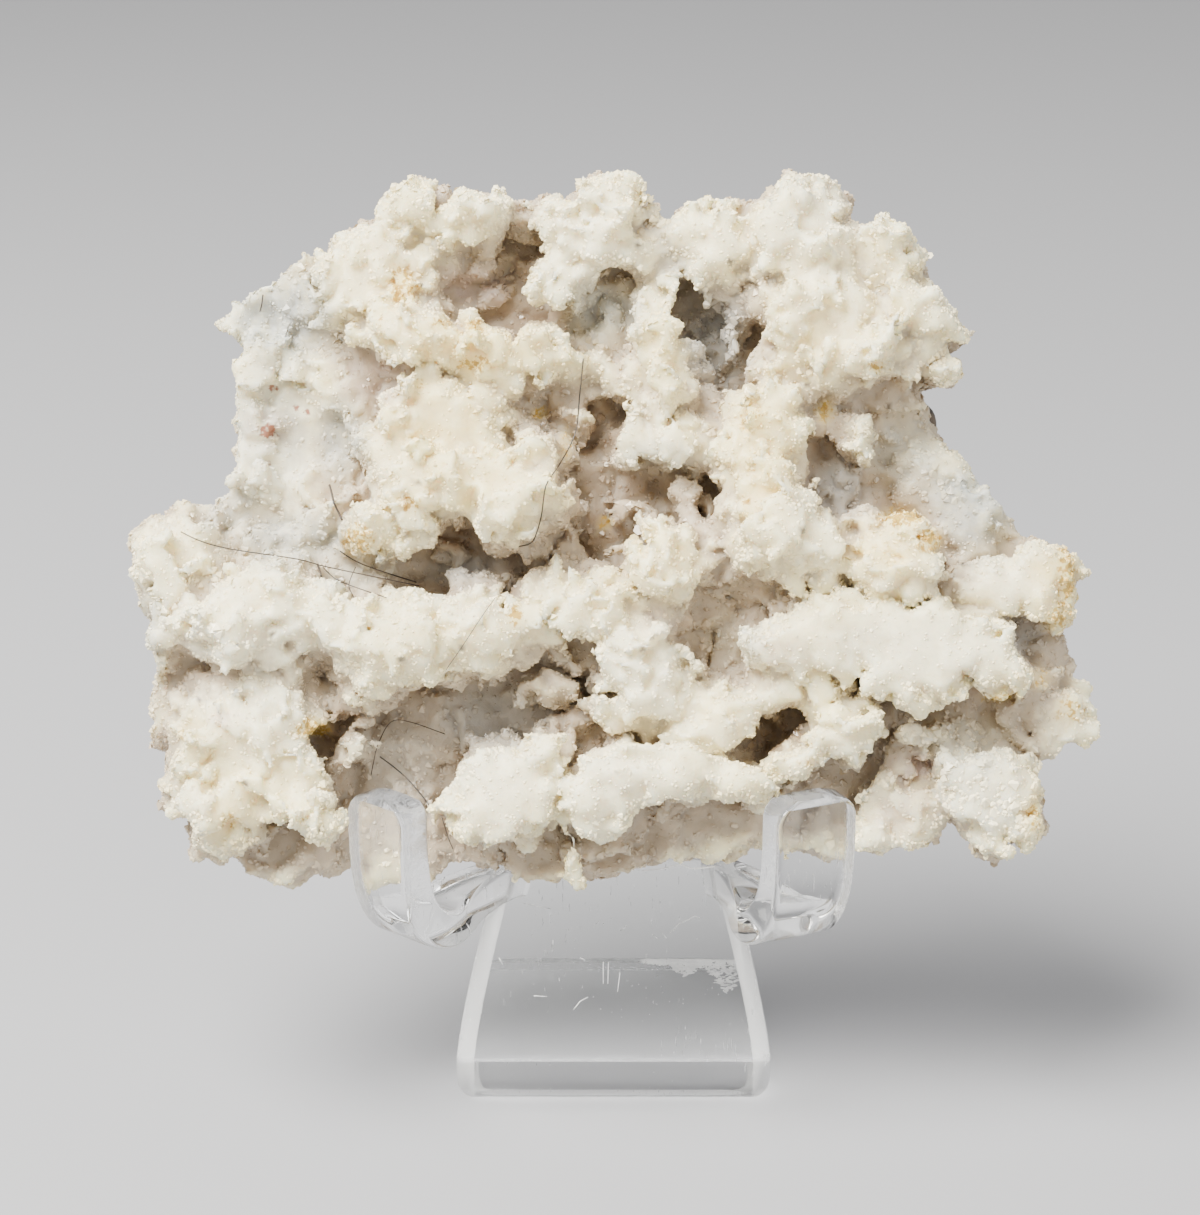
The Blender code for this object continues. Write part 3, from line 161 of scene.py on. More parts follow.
# Recesses between the masses: name, level of the floor, outline
RECESSES = (
    ("left_bench", 1.4, (
        (-31.5, 3.5), (-31.0, 1.5), (-29.6, -0.2), (-28.8, -1.1), (-27.0, -1.6), (-24.5, -1.6),
        (-22.8, -1.2), (-21.2, -0.9), (-20.7, 0.8), (-18.6, 2.0), (-17.3, 3.0), (-18.7, 4.0),
        (-19.6, 5.4), (-18.9, 7.2), (-18.4, 8.6), (-18.6, 9.9), (-16.2, 10.6), (-15.2, 11.9),
        (-17.5, 12.5), (-19.0, 13.4), (-20.6, 14.2), (-22.2, 15.0), (-22.2, 18.0),
        (-22.0, 22.0), (-31.0, 22.0))),
    ("pink_shelf", 2.2, (
        (-12.9, 18.5), (-12.5, 19.5), (-10.7, 20.3), (-9.2, 20.4), (-8.4, 19.0), (-8.5, 17.2),
        (-9.8, 16.9), (-11.3, 16.8), (-12.3, 17.2))),
    ("brown_gully", -1.0, (
        (-7.8, 22.3), (-7.0, 22.4), (-5.5, 21.6), (-4.9, 21.3), (-5.8, 20.4), (-6.8, 19.9),
        (-6.4, 19.1), (-7.0, 18.3), (-6.9, 17.1), (-5.5, 17.0), (-4.9, 16.9), (-5.2, 16.2),
        (-6.3, 16.0), (-6.6, 15.2), (-7.6, 15.0), (-8.6, 16.0), (-10.4, 16.5), (-8.6, 17.3),
        (-8.5, 19.2), (-9.2, 20.4), (-8.2, 20.8))),
    ("grey_alcove", 0.2, (
        (-2.4, 17.0), (-1.3, 18.3), (-0.7, 19.2), (0.2, 19.5), (0.8, 19.1), (1.4, 17.4),
        (1.7, 16.0), (1.6, 14.8), (0.9, 14.4), (0.2, 13.3), (-1.2, 14.0), (-2.3, 13.9),
        (-3.8, 14.4), (-4.5, 15.5), (-5.0, 16.3), (-4.4, 17.0))),
    ("dark_gully", -2.2, (
        (4.9, 18.3), (4.5, 17.2), (4.2, 16.5), (4.8, 15.8), (5.3, 14.9), (6.9, 14.1),
        (7.2, 13.2), (7.7, 12.3), (8.0, 11.1), (8.6, 10.2), (10.2, 10.1), (10.6, 10.6),
        (10.3, 11.4), (10.9, 12.8), (10.4, 13.6), (11.0, 14.8), (10.1, 15.1), (9.9, 14.5),
        (8.5, 14.3), (8.1, 15.6), (7.9, 16.8), (7.2, 17.5), (6.6, 17.2), (6.4, 18.4),
        (5.4, 18.7))),
    ("peak_notch", 1.0, (
        (-13.4, 26.5), (-11.9, 26.0), (-12.4, 24.5), (-12.9, 23.9), (-13.5, 24.2))),
    ("tan_hollow", 2.4, (
        (-6.6, 10.9), (-4.5, 11.1), (-2.5, 11.2), (-0.6, 10.9), (-0.4, 10.1), (-1.9, 9.8),
        (-3.2, 9.4), (-4.9, 9.1), (-6.1, 9.5))),
    ("small_hole", 0.4, (
        (-6.1, 9.4), (-5.0, 9.3), (-3.9, 9.1), (-4.2, 8.5), (-5.0, 8.2), (-5.7, 8.4))),
    ("pin_hole", 2.8, (
        (-8.8, 7.9), (-7.7, 7.6), (-7.2, 6.4), (-7.6, 6.2), (-8.3, 7.0))),
    ("hair_hole", -2.0, (
        (-1.9, 9.8), (-0.9, 9.4), (0.3, 9.8), (0.9, 9.7), (1.4, 9.1), (0.3, 8.7), (0.1, 7.9),
        (-1.0, 7.0), (-1.2, 6.2), (-1.6, 5.8), (-3.2, 6.4), (-3.1, 7.3), (-1.8, 8.3))),
    ("long_recess", -1.6, (
        (-3.3, 4.2), (-2.4, 2.7), (-1.2, 2.6), (-0.2, 2.2), (2.0, 2.8), (3.1, 1.8),
        (4.4, 1.5), (5.2, 0.5), (5.1, 1.9), (4.6, 2.8), (5.0, 3.9), (5.4, 3.9), (5.0, 4.4),
        (3.6, 4.4), (2.0, 4.7), (1.0, 5.0), (-0.7, 5.1), (-2.3, 5.9), (-2.9, 5.2))),
    ("block_side", -1.6, (
        (5.7, 3.5), (7.6, 3.4), (7.9, 3.0), (7.9, 2.4), (7.6, 1.3), (7.1, 1.6), (6.6, 2.2),
        (6.1, 2.7))),
    ("arch_hole", -1.6, (
        (-2.6, 1.0), (-2.0, 1.9), (-1.0, 1.9), (-0.5, 1.2), (1.0, 0.9), (1.7, 0.2),
        (2.0, -0.9), (1.5, -0.6), (1.1, 0.1), (0.6, -0.5), (-0.3, 0.3), (-1.3, 0.5),
        (-1.9, 0.2), (-2.4, 0.1))),
    ("arch_slit", -1.6, (
        (-1.9, -0.5), (-0.8, -1.0), (0.2, -2.0), (0.3, -2.6), (-0.2, -2.6), (-1.2, -1.7),
        (-2.0, -1.5))),
    ("hair_gully", -0.8, (
        (-16.0, -1.8), (-13.8, -0.6), (-12.9, 0.4), (-12.2, 0.9), (-11.2, -0.1), (-10.4, 0.0),
        (-9.2, -1.5), (-8.0, -1.9), (-7.3, -1.2), (-6.5, -2.6), (-7.4, -3.7), (-7.4, -4.4),
        (-8.2, -4.7), (-8.3, -3.0), (-10.0, -2.6), (-12.0, -2.5), (-12.8, -3.3),
        (-12.6, -4.6), (-14.3, -4.2), (-15.8, -4.4), (-16.4, -3.4))),
    ("hair_bench", 1.2, (
        (-22.8, -1.1), (-20.5, -1.7), (-18.5, -1.5), (-16.0, -1.8), (-16.3, -4.2),
        (-18.0, -4.8), (-20.1, -4.5), (-21.2, -3.6), (-22.5, -2.8))),
    ("pendant_left", 0.2, (
        (13.8, 6.4), (15.0, 6.9), (16.9, 7.0), (17.5, 6.2), (18.0, 4.9), (18.5, 3.4),
        (18.6, 2.0), (18.0, 0.9), (17.0, 1.8), (15.0, 2.5), (14.5, 3.0), (14.5, 5.5))),
    ("pendant_right", -0.6, (
        (18.7, 8.2), (18.7, 7.0), (19.3, 5.2), (18.4, 4.3), (19.2, 3.2), (18.6, 2.1),
        (20.2, 1.9), (22.2, 1.4), (23.0, 0.2), (24.6, -1.4), (25.0, -2.6), (28.0, -1.9),
        (30.3, -1.2), (31.5, 2.0), (27.0, 7.0), (25.0, 11.0), (23.3, 11.0), (22.7, 9.3),
        (21.9, 9.0), (20.5, 9.2), (19.2, 8.9))),
    ("tan_pool", 1.9, (
        (5.5, -5.0), (6.5, -4.1), (8.0, -4.2), (9.6, -5.0), (12.0, -5.9), (10.9, -7.2),
        (9.6, -7.8), (9.4, -8.5), (9.9, -9.4), (9.6, -10.7), (7.6, -10.8), (5.9, -10.0),
        (5.2, -8.0), (5.5, -6.4))),
    ("crack", 1.0, (
        (-3.4, -7.7), (-2.2, -8.1), (-1.2, -9.2), (-1.6, -10.2), (-1.3, -11.4), (-0.2, -12.2),
        (-2.1, -11.9), (-2.2, -10.4), (-2.4, -9.2))),
    ("right_pocket", -0.4, (
        (29.2, -6.7), (31.5, -6.5), (33.2, -7.1), (34.5, -7.0), (37.5, -11.0), (37.0, -16.5),
        (33.0, -17.0), (31.5, -16.0), (29.9, -16.3), (28.5, -16.2), (26.5, -16.0),
        (24.8, -14.5), (22.5, -14.6), (20.3, -14.6), (19.2, -13.0), (19.4, -12.0),
        (25.0, -12.4), (30.0, -11.5), (30.8, -10.5), (29.6, -9.0), (29.3, -8.0))),
    ("brown_pit", -1.8, (
        (9.9, -16.7), (10.1, -15.1), (10.9, -15.3), (11.2, -14.2), (12.2, -14.5),
        (14.0, -13.9), (14.6, -14.7), (13.4, -15.6), (12.0, -16.1), (11.3, -17.2),
        (12.2, -18.5), (11.6, -18.6), (10.7, -17.3))),
    ("pink_hollow", 0.6, (
        (20.9, -16.2), (22.0, -16.4), (24.8, -17.6), (25.0, -19.0), (23.6, -19.0),
        (21.6, -18.6), (20.9, -17.6))),
    ("great_recess", -1.5, (
        (-23.0, -14.7), (-21.0, -13.8), (-20.4, -14.0), (-18.7, -13.3), (-17.6, -14.0),
        (-16.5, -13.5), (-15.4, -12.1), (-14.0, -11.2), (-12.0, -11.7), (-10.0, -11.7),
        (-8.0, -11.9), (-8.0, -10.4), (-6.2, -9.9), (-5.3, -10.8), (-2.2, -10.4),
        (-2.0, -11.8), (-3.0, -12.9), (-5.0, -13.9), (-5.9, -15.0), (-8.0, -15.6),
        (-10.6, -16.0), (-11.3, -17.6), (-11.2, -19.0), (-13.0, -19.9), (-13.7, -20.5),
        (-13.0, -21.2), (-11.5, -21.5), (-11.8, -22.8), (-10.8, -24.8), (-11.0, -28.0),
        (-19.6, -28.0), (-19.8, -22.5), (-20.4, -20.5), (-21.3, -18.8), (-21.3, -16.8),
        (-22.9, -16.0))),
    ("left_foot", -0.6, (
        (-29.0, -28.0), (-28.6, -24.0), (-27.0, -23.5), (-25.0, -23.2), (-25.1, -22.0),
        (-24.6, -21.4), (-23.5, -21.4), (-23.0, -23.2), (-21.8, -22.9), (-19.6, -23.0),
        (-19.4, -28.0))),
    ("pit_left", -1.2, (
        (-3.9, -15.7), (-2.7, -15.1), (-1.1, -15.2), (-1.0, -16.5), (-2.8, -17.2),
        (-3.2, -16.4))),
    ("under_left", 0.4, (
        (-9.0, -23.9), (-6.5, -23.2), (-4.2, -22.2), (-3.8, -23.0), (-4.2, -24.8),
        (-4.4, -28.0), (-10.6, -28.0), (-10.2, -24.8))),
    ("under_mid", 1.2, (
        (-3.0, -22.6), (0.0, -21.8), (1.5, -20.8), (4.2, -19.6), (4.2, -21.2), (2.2, -23.2),
        (-0.8, -24.4), (-2.6, -24.8), (-2.8, -23.6))),
    ("bottom_floor", -1.4, (
        (4.2, -20.4), (5.0, -19.6), (6.6, -19.1), (9.0, -19.4), (11.0, -20.5), (12.2, -19.8),
        (12.6, -18.8), (15.0, -17.3), (16.4, -16.7), (17.6, -17.7), (19.2, -16.4),
        (19.9, -15.2), (20.8, -16.4), (20.0, -18.2), (18.4, -19.3), (17.9, -20.8),
        (18.2, -23.0), (18.0, -28.0), (-2.4, -28.0), (-2.2, -25.2), (0.6, -24.6),
        (2.6, -23.0), (4.1, -21.2))),
)

# Ridges that stand over their neighbours: name, lower level, upper level, outline
RIDGES = (
    ("right_ridge", 2.0, 6.6, (
        (9.6, -8.2), (11.0, -7.2), (12.2, -6.3), (14.4, -5.0), (18.0, -5.3), (22.3, -5.3),
        (25.0, -5.6), (28.2, -6.2), (29.6, -7.7), (29.2, -8.6), (30.9, -10.4), (30.7, -11.2),
        (29.4, -11.9), (26.8, -11.5), (25.8, -10.7), (25.9, -12.0), (25.0, -12.7),
        (23.4, -11.8), (22.9, -12.7), (20.9, -12.6), (17.9, -11.8), (18.3, -10.6),
        (15.0, -10.0), (10.6, -9.8))),
    ("finger", 1.0, 5.2, (
        (11.4, -17.3), (12.2, -16.2), (14.6, -15.1), (17.0, -13.6), (19.4, -13.4),
        (20.0, -14.9), (19.2, -16.4), (17.6, -17.6), (16.4, -16.8), (15.0, -17.3),
        (13.2, -18.2), (12.3, -18.7))),
    ("right_lobe", 1.0, 4.6, (
        (25.2, -2.9), (27.5, -2.2), (30.4, -1.3), (32.0, -0.9), (34.4, -2.2), (34.2, -4.5),
        (33.5, -6.8), (32.4, -7.0), (31.2, -6.1), (28.6, -6.4), (25.4, -5.4))),
    ("right_legs", -3.0, 3.8, (
        (25.0, -16.2), (26.5, -17.0), (29.4, -16.2), (31.0, -17.5), (31.5, -19.9),
        (32.3, -22.2), (31.0, -23.2), (29.8, -22.4), (28.8, -24.4), (28.0, -23.9),
        (27.2, -22.8), (25.2, -21.2), (25.0, -19.0))),
    ("spur_mass", 0.0, 6.0, (
        (-13.5, -20.5), (-11.4, -19.4), (-11.0, -17.2), (-10.4, -16.1), (-7.0, -15.6),
        (-5.0, -14.4), (-3.6, -15.8), (-4.4, -17.4), (-3.6, -19.4), (-4.4, -21.6),
        (-7.2, -22.2), (-9.8, -22.8), (-11.4, -22.9), (-11.6, -21.4), (-13.2, -21.2))),
    ("middle_mass", 0.0, 6.2, (
        (-3.6, -18.0), (-1.8, -16.8), (1.0, -16.0), (3.2, -16.6), (6.2, -16.4), (8.4, -17.0),
        (10.6, -17.4), (12.0, -19.2), (11.2, -20.4), (9.0, -19.6), (6.8, -18.9),
        (5.6, -19.6), (2.6, -19.9), (0.4, -21.6), (-2.2, -22.2), (-3.6, -21.0))),
    ("pendant", 0.0, 4.6, (
        (17.0, 8.8), (18.7, 8.4), (18.9, 7.0), (19.3, 5.0), (18.6, 4.4), (17.9, 5.6),
        (17.2, 7.0))),
    ("slit_lobe", -1.0, 2.6, (
        (-7.2, -12.6), (-6.6, -11.4), (-4.0, -10.6), (-2.2, -10.9), (-2.6, -12.2),
        (-4.6, -12.7), (-6.8, -13.0))),
    ("left_pendant", -1.0, 2.8, (
        (-19.9, -13.9), (-18.8, -13.4), (-18.2, -14.6), (-18.8, -15.2), (-19.6, -14.8))),
    ("left_finger", -1.0, 2.6, (
        (-21.4, -16.1), (-19.0, -15.8), (-18.2, -16.3), (-19.0, -17.2), (-21.0, -17.4))),
    ("dark_block", -2.0, 2.6, (
        (8.1, 15.8), (8.6, 16.5), (9.8, 16.0), (10.0, 14.8), (9.1, 14.1), (8.4, 14.5))),
    ("corner_block", -1.6, 3.0, (
        (5.0, 3.9), (5.5, 3.8), (6.2, 2.6), (7.0, 1.2), (6.2, 0.7), (5.3, 0.6), (4.7, 2.8))),
)

# Swellings of the masses: u, w, level of the top, radius across, radius along, all in millimetres
SWELLINGS = (
    (-18.0, 19.0, 5.4, 5.0, 4.6), (-12.0, 22.5, 5.0, 4.2, 3.2), (-14.7, 24.2, 4.6, 2.6, 2.8),
    (-16.0, 14.8, 5.4, 4.6, 3.2), (-8.0, 13.4, 6.0, 4.6, 3.2), (-2.0, 22.4, 6.2, 4.0, 4.4),
    (-5.0, 18.6, 5.6, 2.6, 2.6), (2.4, 22.0, 4.4, 2.0, 4.2), (7.0, 21.8, 5.6, 3.8, 3.2),
    (14.2, 22.4, 6.6, 4.6, 4.4), (20.4, 20.6, 5.0, 3.2, 3.2), (22.4, 15.6, 5.2, 4.2, 3.6),
    (15.6, 15.4, 6.4, 4.8, 5.0), (19.6, 13.6, 6.6, 2.4, 2.2), (23.0, 12.4, 4.8, 3.0, 1.6),
    (4.4, 14.4, 5.8, 2.6, 5.2), (-13.0, 6.4, 7.0, 6.2, 5.4), (-7.4, 3.6, 6.4, 4.2, 5.2),
    (-16.6, 0.8, 5.6, 3.6, 2.6), (4.2, 6.8, 4.8, 4.4, 2.4), (11.2, 7.6, 6.6, 3.2, 4.6),
    (11.0, 1.0, 6.8, 4.4, 4.6), (4.6, -1.8, 6.2, 4.2, 3.2), (14.8, -2.0, 5.8, 3.6, 3.0),
    (20.8, -1.8, 6.6, 4.4, 3.6), (-25.6, -6.4, 6.2, 8.0, 4.2), (-32.4, -2.4, 5.0, 3.6, 3.8),
    (-26.8, -14.6, 5.6, 5.8, 4.8), (-30.0, -19.6, 4.8, 4.0, 4.0), (-23.2, -18.6, 5.4, 3.2, 4.8),
    (-16.6, -8.0, 6.6, 5.0, 4.6), (-9.6, -7.6, 6.2, 4.4, 3.2), (-3.6, -6.0, 6.0, 4.4, 3.0),
    (2.2, -10.6, 6.4, 4.4, 4.2), (6.6, -13.6, 5.8, 4.4, 3.0), (13.4, -12.0, 4.4, 4.0, 2.8),
    (17.8, -14.2, 4.2, 3.0, 2.4), (21.6, -20.6, 2.4, 3.4, 3.0),
)

# Low lumps on the floors of the recesses, in the same terms
FLOOR_LUMPS = (
    (25.6, -17.4, 2.8, 2.4, 3.2), (31.8, -12.6, 1.6, 3.0, 2.4), (33.2, -14.6, 1.2, 2.4, 2.2),
    (23.6, 3.8, 0.5, 2.6, 3.2), (26.4, 1.2, 1.2, 3.4, 3.6), (-25.4, 16.6, 3.4, 3.8, 3.0),
    (-25.4, 8.4, 2.8, 3.0, 6.0), (-23.0, 2.4, 2.6, 4.4, 2.8), (-9.4, 18.4, 3.4, 1.2, 1.6),
    (16.0, 3.2, 0.8, 1.2, 1.0), (-12.2, -1.6, 0.6, 1.4, 1.2), (-16.0, -22.6, -0.4, 3.4, 3.4),
    (9.6, -22.4, -0.6, 4.6, 2.4),
)

# The rind of dark rock on the back, kept inside the stone's outline but for its right edge
RIND_OUTLINE = (
    (-33.6, -18.8), (-31.5, -9.0), (-32.0, -3.0), (-27.5, 1.5), (-25.8, 8.0), (-25.0, 14.8),
    (-20.0, 19.6), (-13.5, 22.6), (-3.0, 23.2), (7.0, 22.6), (15.6, 23.2), (20.6, 19.6),
    (22.9, 12.6), (24.1, 9.8), (25.2, 7.0), (26.4, 4.9), (29.2, 0.6), (32.6, -4.4),
    (33.0, -12.8), (28.6, -19.8), (20.0, -21.8), (8.0, -22.3), (-6.0, -22.8), (-22.0, -23.0),
    (-30.0, -21.4),
)
print(len(SILHOUETTE), "outline points,", len(RECESSES), "recesses,", len(RIDGES), "ridges")

# %% [markdown]
# A drusy crust is too rough to model face by face. It could be sculpted, or displaced from a
# coarse mesh, but displacement can't make ledges that hang over the recesses. So the stone is
# made as a field: a number at each point of a fine grid that is above zero inside the stone.
# Masses, recesses and ridges are joined and cut with plain minimum and maximum, and a surface
# is then drawn where the field is zero. First come two helpers: the signed distance from a
# given outline, and smooth noise made by spreading random numbers over a grid.

# %% Helpers for the field
GRID = 0.35                                 # mm between the field's points
MAP_STEP = 0.25                             # mm between the points of the flat maps
U_AXIS = np.arange(-38.0, 38.01, GRID)
W_AXIS = np.arange(-28.8, 28.81, GRID)
N_AXIS = np.arange(-6.2, 10.4, GRID)
MAP_U = np.arange(-39.0, 39.01, MAP_STEP)
MAP_W = np.arange(-30.0, 30.01, MAP_STEP)
MAP_POINTS = np.stack(np.meshgrid(MAP_U, MAP_W, indexing="ij"), axis=-1)
PAST_LAST_CELL = 1.001                      # keeps a place inside the last cell of a map


def outline_distance(outline):
    """A flat map of the distance to an outline, above zero inside it."""
    outline = np.array(outline, float)
    nearest = np.full(MAP_POINTS.shape[:2], np.inf)
    inside = np.zeros(MAP_POINTS.shape[:2], bool)
    for start, end in zip(outline, np.roll(outline, -1, axis=0)):
        edge = end - start
        away = MAP_POINTS - start
        along = np.clip(away @ edge / (edge @ edge), 0.0, 1.0)
        gap = away - along[..., None] * edge
        nearest = np.minimum(nearest, (gap ** 2).sum(-1))
        spans = (start[1] > MAP_POINTS[..., 1]) != (end[1] > MAP_POINTS[..., 1])
        if edge[1] != 0.0:
            crossing = start[0] + (MAP_POINTS[..., 1] - start[1]) * edge[0] / edge[1]
            inside ^= spans & (MAP_POINTS[..., 0] < crossing)
    return np.where(inside, 1.0, -1.0) * np.sqrt(nearest)


def smooth_noise(axes, cell, seed):
    """Noise with a spread of 1, whose bumps are about two cells wide, on the grid of the axes."""
    rng = np.random.default_rng(seed)
    counts = [int(np.ceil((axis[-1] - axis[0]) / cell)) + 4 for axis in axes]
    noise = rng.uniform(-1.0, 1.0, counts)
    for dimension, axis in enumerate(axes):
        at = (axis - axis[0]) / cell
        cell_index = np.floor(at).astype(int)
        t = at - cell_index
        weights = np.zeros((len(axis), counts[dimension]))
        rows = np.arange(len(axis))
        spline = (
            (1 - t) ** 3, 3 * t ** 3 - 6 * t ** 2 + 4, 3 * (t + t ** 2 - t ** 3) + 1, t ** 3)
        for offset, weight in enumerate(spline):
            weights[rows, cell_index + offset] = weight / 6.0
        noise = np.moveaxis(np.tensordot(weights, noise, (1, dimension)), 0, dimension)
    return noise / noise.std()


def layered_noise(axes, layers, seed=0):
    """A sum of noises, each given by its cell and its height in mm and its own seed."""
    return sum(height * smooth_noise(axes, cell, seed + own) for cell, height, own in layers)


def sample(flat_map, u, w):
    """Values of a flat map at any u and w, between its points."""
    x = np.clip((u - MAP_U[0]) / MAP_STEP, 0, len(MAP_U) - PAST_LAST_CELL)
    y = np.clip((w - MAP_W[0]) / MAP_STEP, 0, len(MAP_W) - PAST_LAST_CELL)
    i = x.astype(int)
    j = y.astype(int)
    fx = x - i
    fy = y - j
    low = flat_map[i, j] * (1 - fx) + flat_map[i + 1, j] * fx
    high = flat_map[i, j + 1] * (1 - fx) + flat_map[i + 1, j + 1] * fx
    return low * (1 - fy) + high * fy


def soft_min(a, b, blend):
    """The smaller of two fields, with the corner between them rounded."""
    near = np.clip(blend - np.abs(a - b), 0.0, None) / blend
    return np.minimum(a, b) - near ** 2 * blend / 4


def soft_max(a, b, blend):
    """The larger of two fields, with the corner between them filled."""
    return -soft_min(-a, -b, blend)


def step_up(values, low, high):
    """0 below low, 1 above high, and smooth between."""
    t = np.clip((values - low) / (high - low), 0.0, 1.0)
    return t * t * (3 - 2 * t)


print("field of", len(U_AXIS) * len(W_AXIS) * len(N_AXIS), "points")

# %% [markdown]
# The masses are pillows: domed in the middle and rounded down at every edge that meets a recess
# or the open air. Their tops aren't smooth domes but overlapping sheets with ragged rims, like
# coral, so noise is turned into low steps and added to the height. The floors get lumps too.

# %% Height maps of the masses and floors
MASS_BASE = 2.2                 # level of the masses where nothing swells
PILLOW_RADIUS = 1.5
DOME_REACH = 1.25               # squared, in half widths: where a swelling ends
DOME_POWER = 0.6
SWELLING_BLEND = 0.8
FAR_BELOW = -50.0
WAVES = ((2.6, 0.35, 5),)       # cell, height and seed of the tops' slow waves
STEPS = ((3.6, 1.3, 0.1, 11), (2.4, 1.0, 0.3, 12), (1.5, 0.55, 0.5, 13))   # cell, height, from, seed
STEP_SOFTNESS = 0.06
STEP_SUNK = 0.4                 # share of a step that lies below the old top
RIM_NOISE = ((0.6, 0.7, 6), (0.3, 0.5, 7))
RAGGED = 0.36                   # how far the rims of the sheets wander, in mm
FLOOR_NOISE = ((1.5, 0.4, 21), (0.6, 0.14, 22))
LUMP_HEIGHT = 2.0


def dome(swelling, base):
    """A low dome over an oval, and a level far below everything outside it."""
    u, w, top, across, along = swelling
    reach = ((MAP_POINTS[..., 0] - u) / across) ** 2 + ((MAP_POINTS[..., 1] - w) / along) ** 2
    rise = np.clip(DOME_REACH - reach, 0.0, 1.0) ** DOME_POWER
    return np.where(reach < DOME_REACH, base + (top - base) * rise, FAR_BELOW)


def mass_heights():
    """The level of the masses' tops: swellings, slow waves and ragged steps."""
    heights = np.full(MAP_POINTS.shape[:2], MASS_BASE)
    for swelling in SWELLINGS:
        heights = soft_max(heights, dome(swelling, MASS_BASE), SWELLING_BLEND)
    heights = heights + layered_noise((MAP_U, MAP_W), WAVES)
    ragged = layered_noise((MAP_U, MAP_W), RIM_NOISE)
    for cell, height, threshold, seed in STEPS:
        wave = smooth_noise((MAP_U, MAP_W), cell, seed) + ragged * RAGGED / cell
        step = step_up(wave, threshold - STEP_SOFTNESS, threshold + STEP_SOFTNESS)
        heights = heights + height * (step - STEP_SUNK)
    return heights


def pillow(distance, radius):
    """How far a top has dropped at a distance in from its edge."""
    share = 1.0 - np.clip(distance / radius, 0.0, 1.0)
    return radius * (1.0 - np.sqrt(1.0 - share ** 2))


silhouette_map = outline_distance(SILHOUETTE)
recess_maps = [outline_distance(outline) for name, level, outline in RECESSES]
ridge_maps = [outline_distance(outline) for name, low, high, outline in RIDGES]
edge_map = silhouette_map
for recess_map in recess_maps:
    edge_map = np.minimum(edge_map, -recess_map)
top_map = mass_heights() - pillow(edge_map, PILLOW_RADIUS)

floor_noise = layered_noise((MAP_U, MAP_W), FLOOR_NOISE)
lump_map = np.full(MAP_POINTS.shape[:2], FAR_BELOW)
for lump in FLOOR_LUMPS:
    lump_map = np.maximum(lump_map, dome(lump, lump[2] - LUMP_HEIGHT))
print("masses up to", round(float(top_map.max()), 2), "mm")

# %% [markdown]
# Now the field itself. Each level of the grid is worked out in turn. Noise first shifts the
# places where the maps are read, differently at each level, so that every outline turns ragged.
# A recess grows a little wider below its rim, which leaves the masses hanging over it, as the
# real ones do. Last, round cells are added to the surface: clusters of crystals grow as small
# balls with sharp valleys between them, and the distance to the nearest of many scattered
# points has just that shape.

# %% The stone's field
WARPS = ((1.25, 0.30, 0), (0.62, 0.36, 1))  # cell and size in mm of the shifts, and their order
WARP_SEEDS = (41, 51)                       # for the shifts along u and along w
SHIFT_AT_OUTLINE = 0.7                      # the silhouette moves less than the recesses
UNDERCUT = 0.22                             # mm a recess widens for each mm below its rim
UNDERCUT_DEPTH = 3.5
OPENING = 0.22                              # mm the recesses are opened, as crystals close them a little
LUMP_ROUGHNESS = 0.5                        # shares of the floors' noise that lumps and ridges get
CREST_ROUGHNESS = 0.3
CREST_RADIUS = 1.6
EDGE_BLEND = 0.25                           # mm that corners between two shapes are rounded
FLOOR_BLEND = 0.3
RECESS_BLEND = 0.2
RIDGE_BLEND = 0.3
TAPER_LEVELS = (-3.2, -5.2)                 # behind the first, the plate draws in
TAPER = 1.3
BACK_LEVEL = -5.15
BACK_GRAIN = ((1.5, 0.08, 62),)
FINE_GRAIN = ((0.5, 0.05, 61),)
BALLS = ((2.0, 0.22, 31), (1.0, 0.20, 32))  # size of the cells, height, seed
BALL_LEVEL = 0.32                           # squared, in cells: where a ball adds nothing


def scattered_balls(cell, seed):
    """Above zero near scattered points and below it between them, in units of the cell."""
    rng = np.random.default_rng(seed)
    axes = (U_AXIS, W_AXIS, N_AXIS)
    counts = [int(np.ceil((axis[-1] - axis[0]) / cell)) + 3 for axis in axes]
    jitter = rng.uniform(0.0, 1.0, (*counts, 3))
    places = np.ix_(*[(axis - axis[0]) / cell + 1.0 for axis in axes])
    floors = [place.astype(int) for place in places]
    nearest = np.full([len(axis) for axis in axes], np.inf)
    for offset in np.ndindex(3, 3, 3):
        cells = tuple(low + step - 1 for low, step in zip(floors, offset))
        spot = jitter[cells]
        gap = sum((cells[d] + spot[..., d] - places[d]) ** 2 for d in range(3))
        nearest = np.minimum(nearest, gap)
    return BALL_LEVEL - nearest


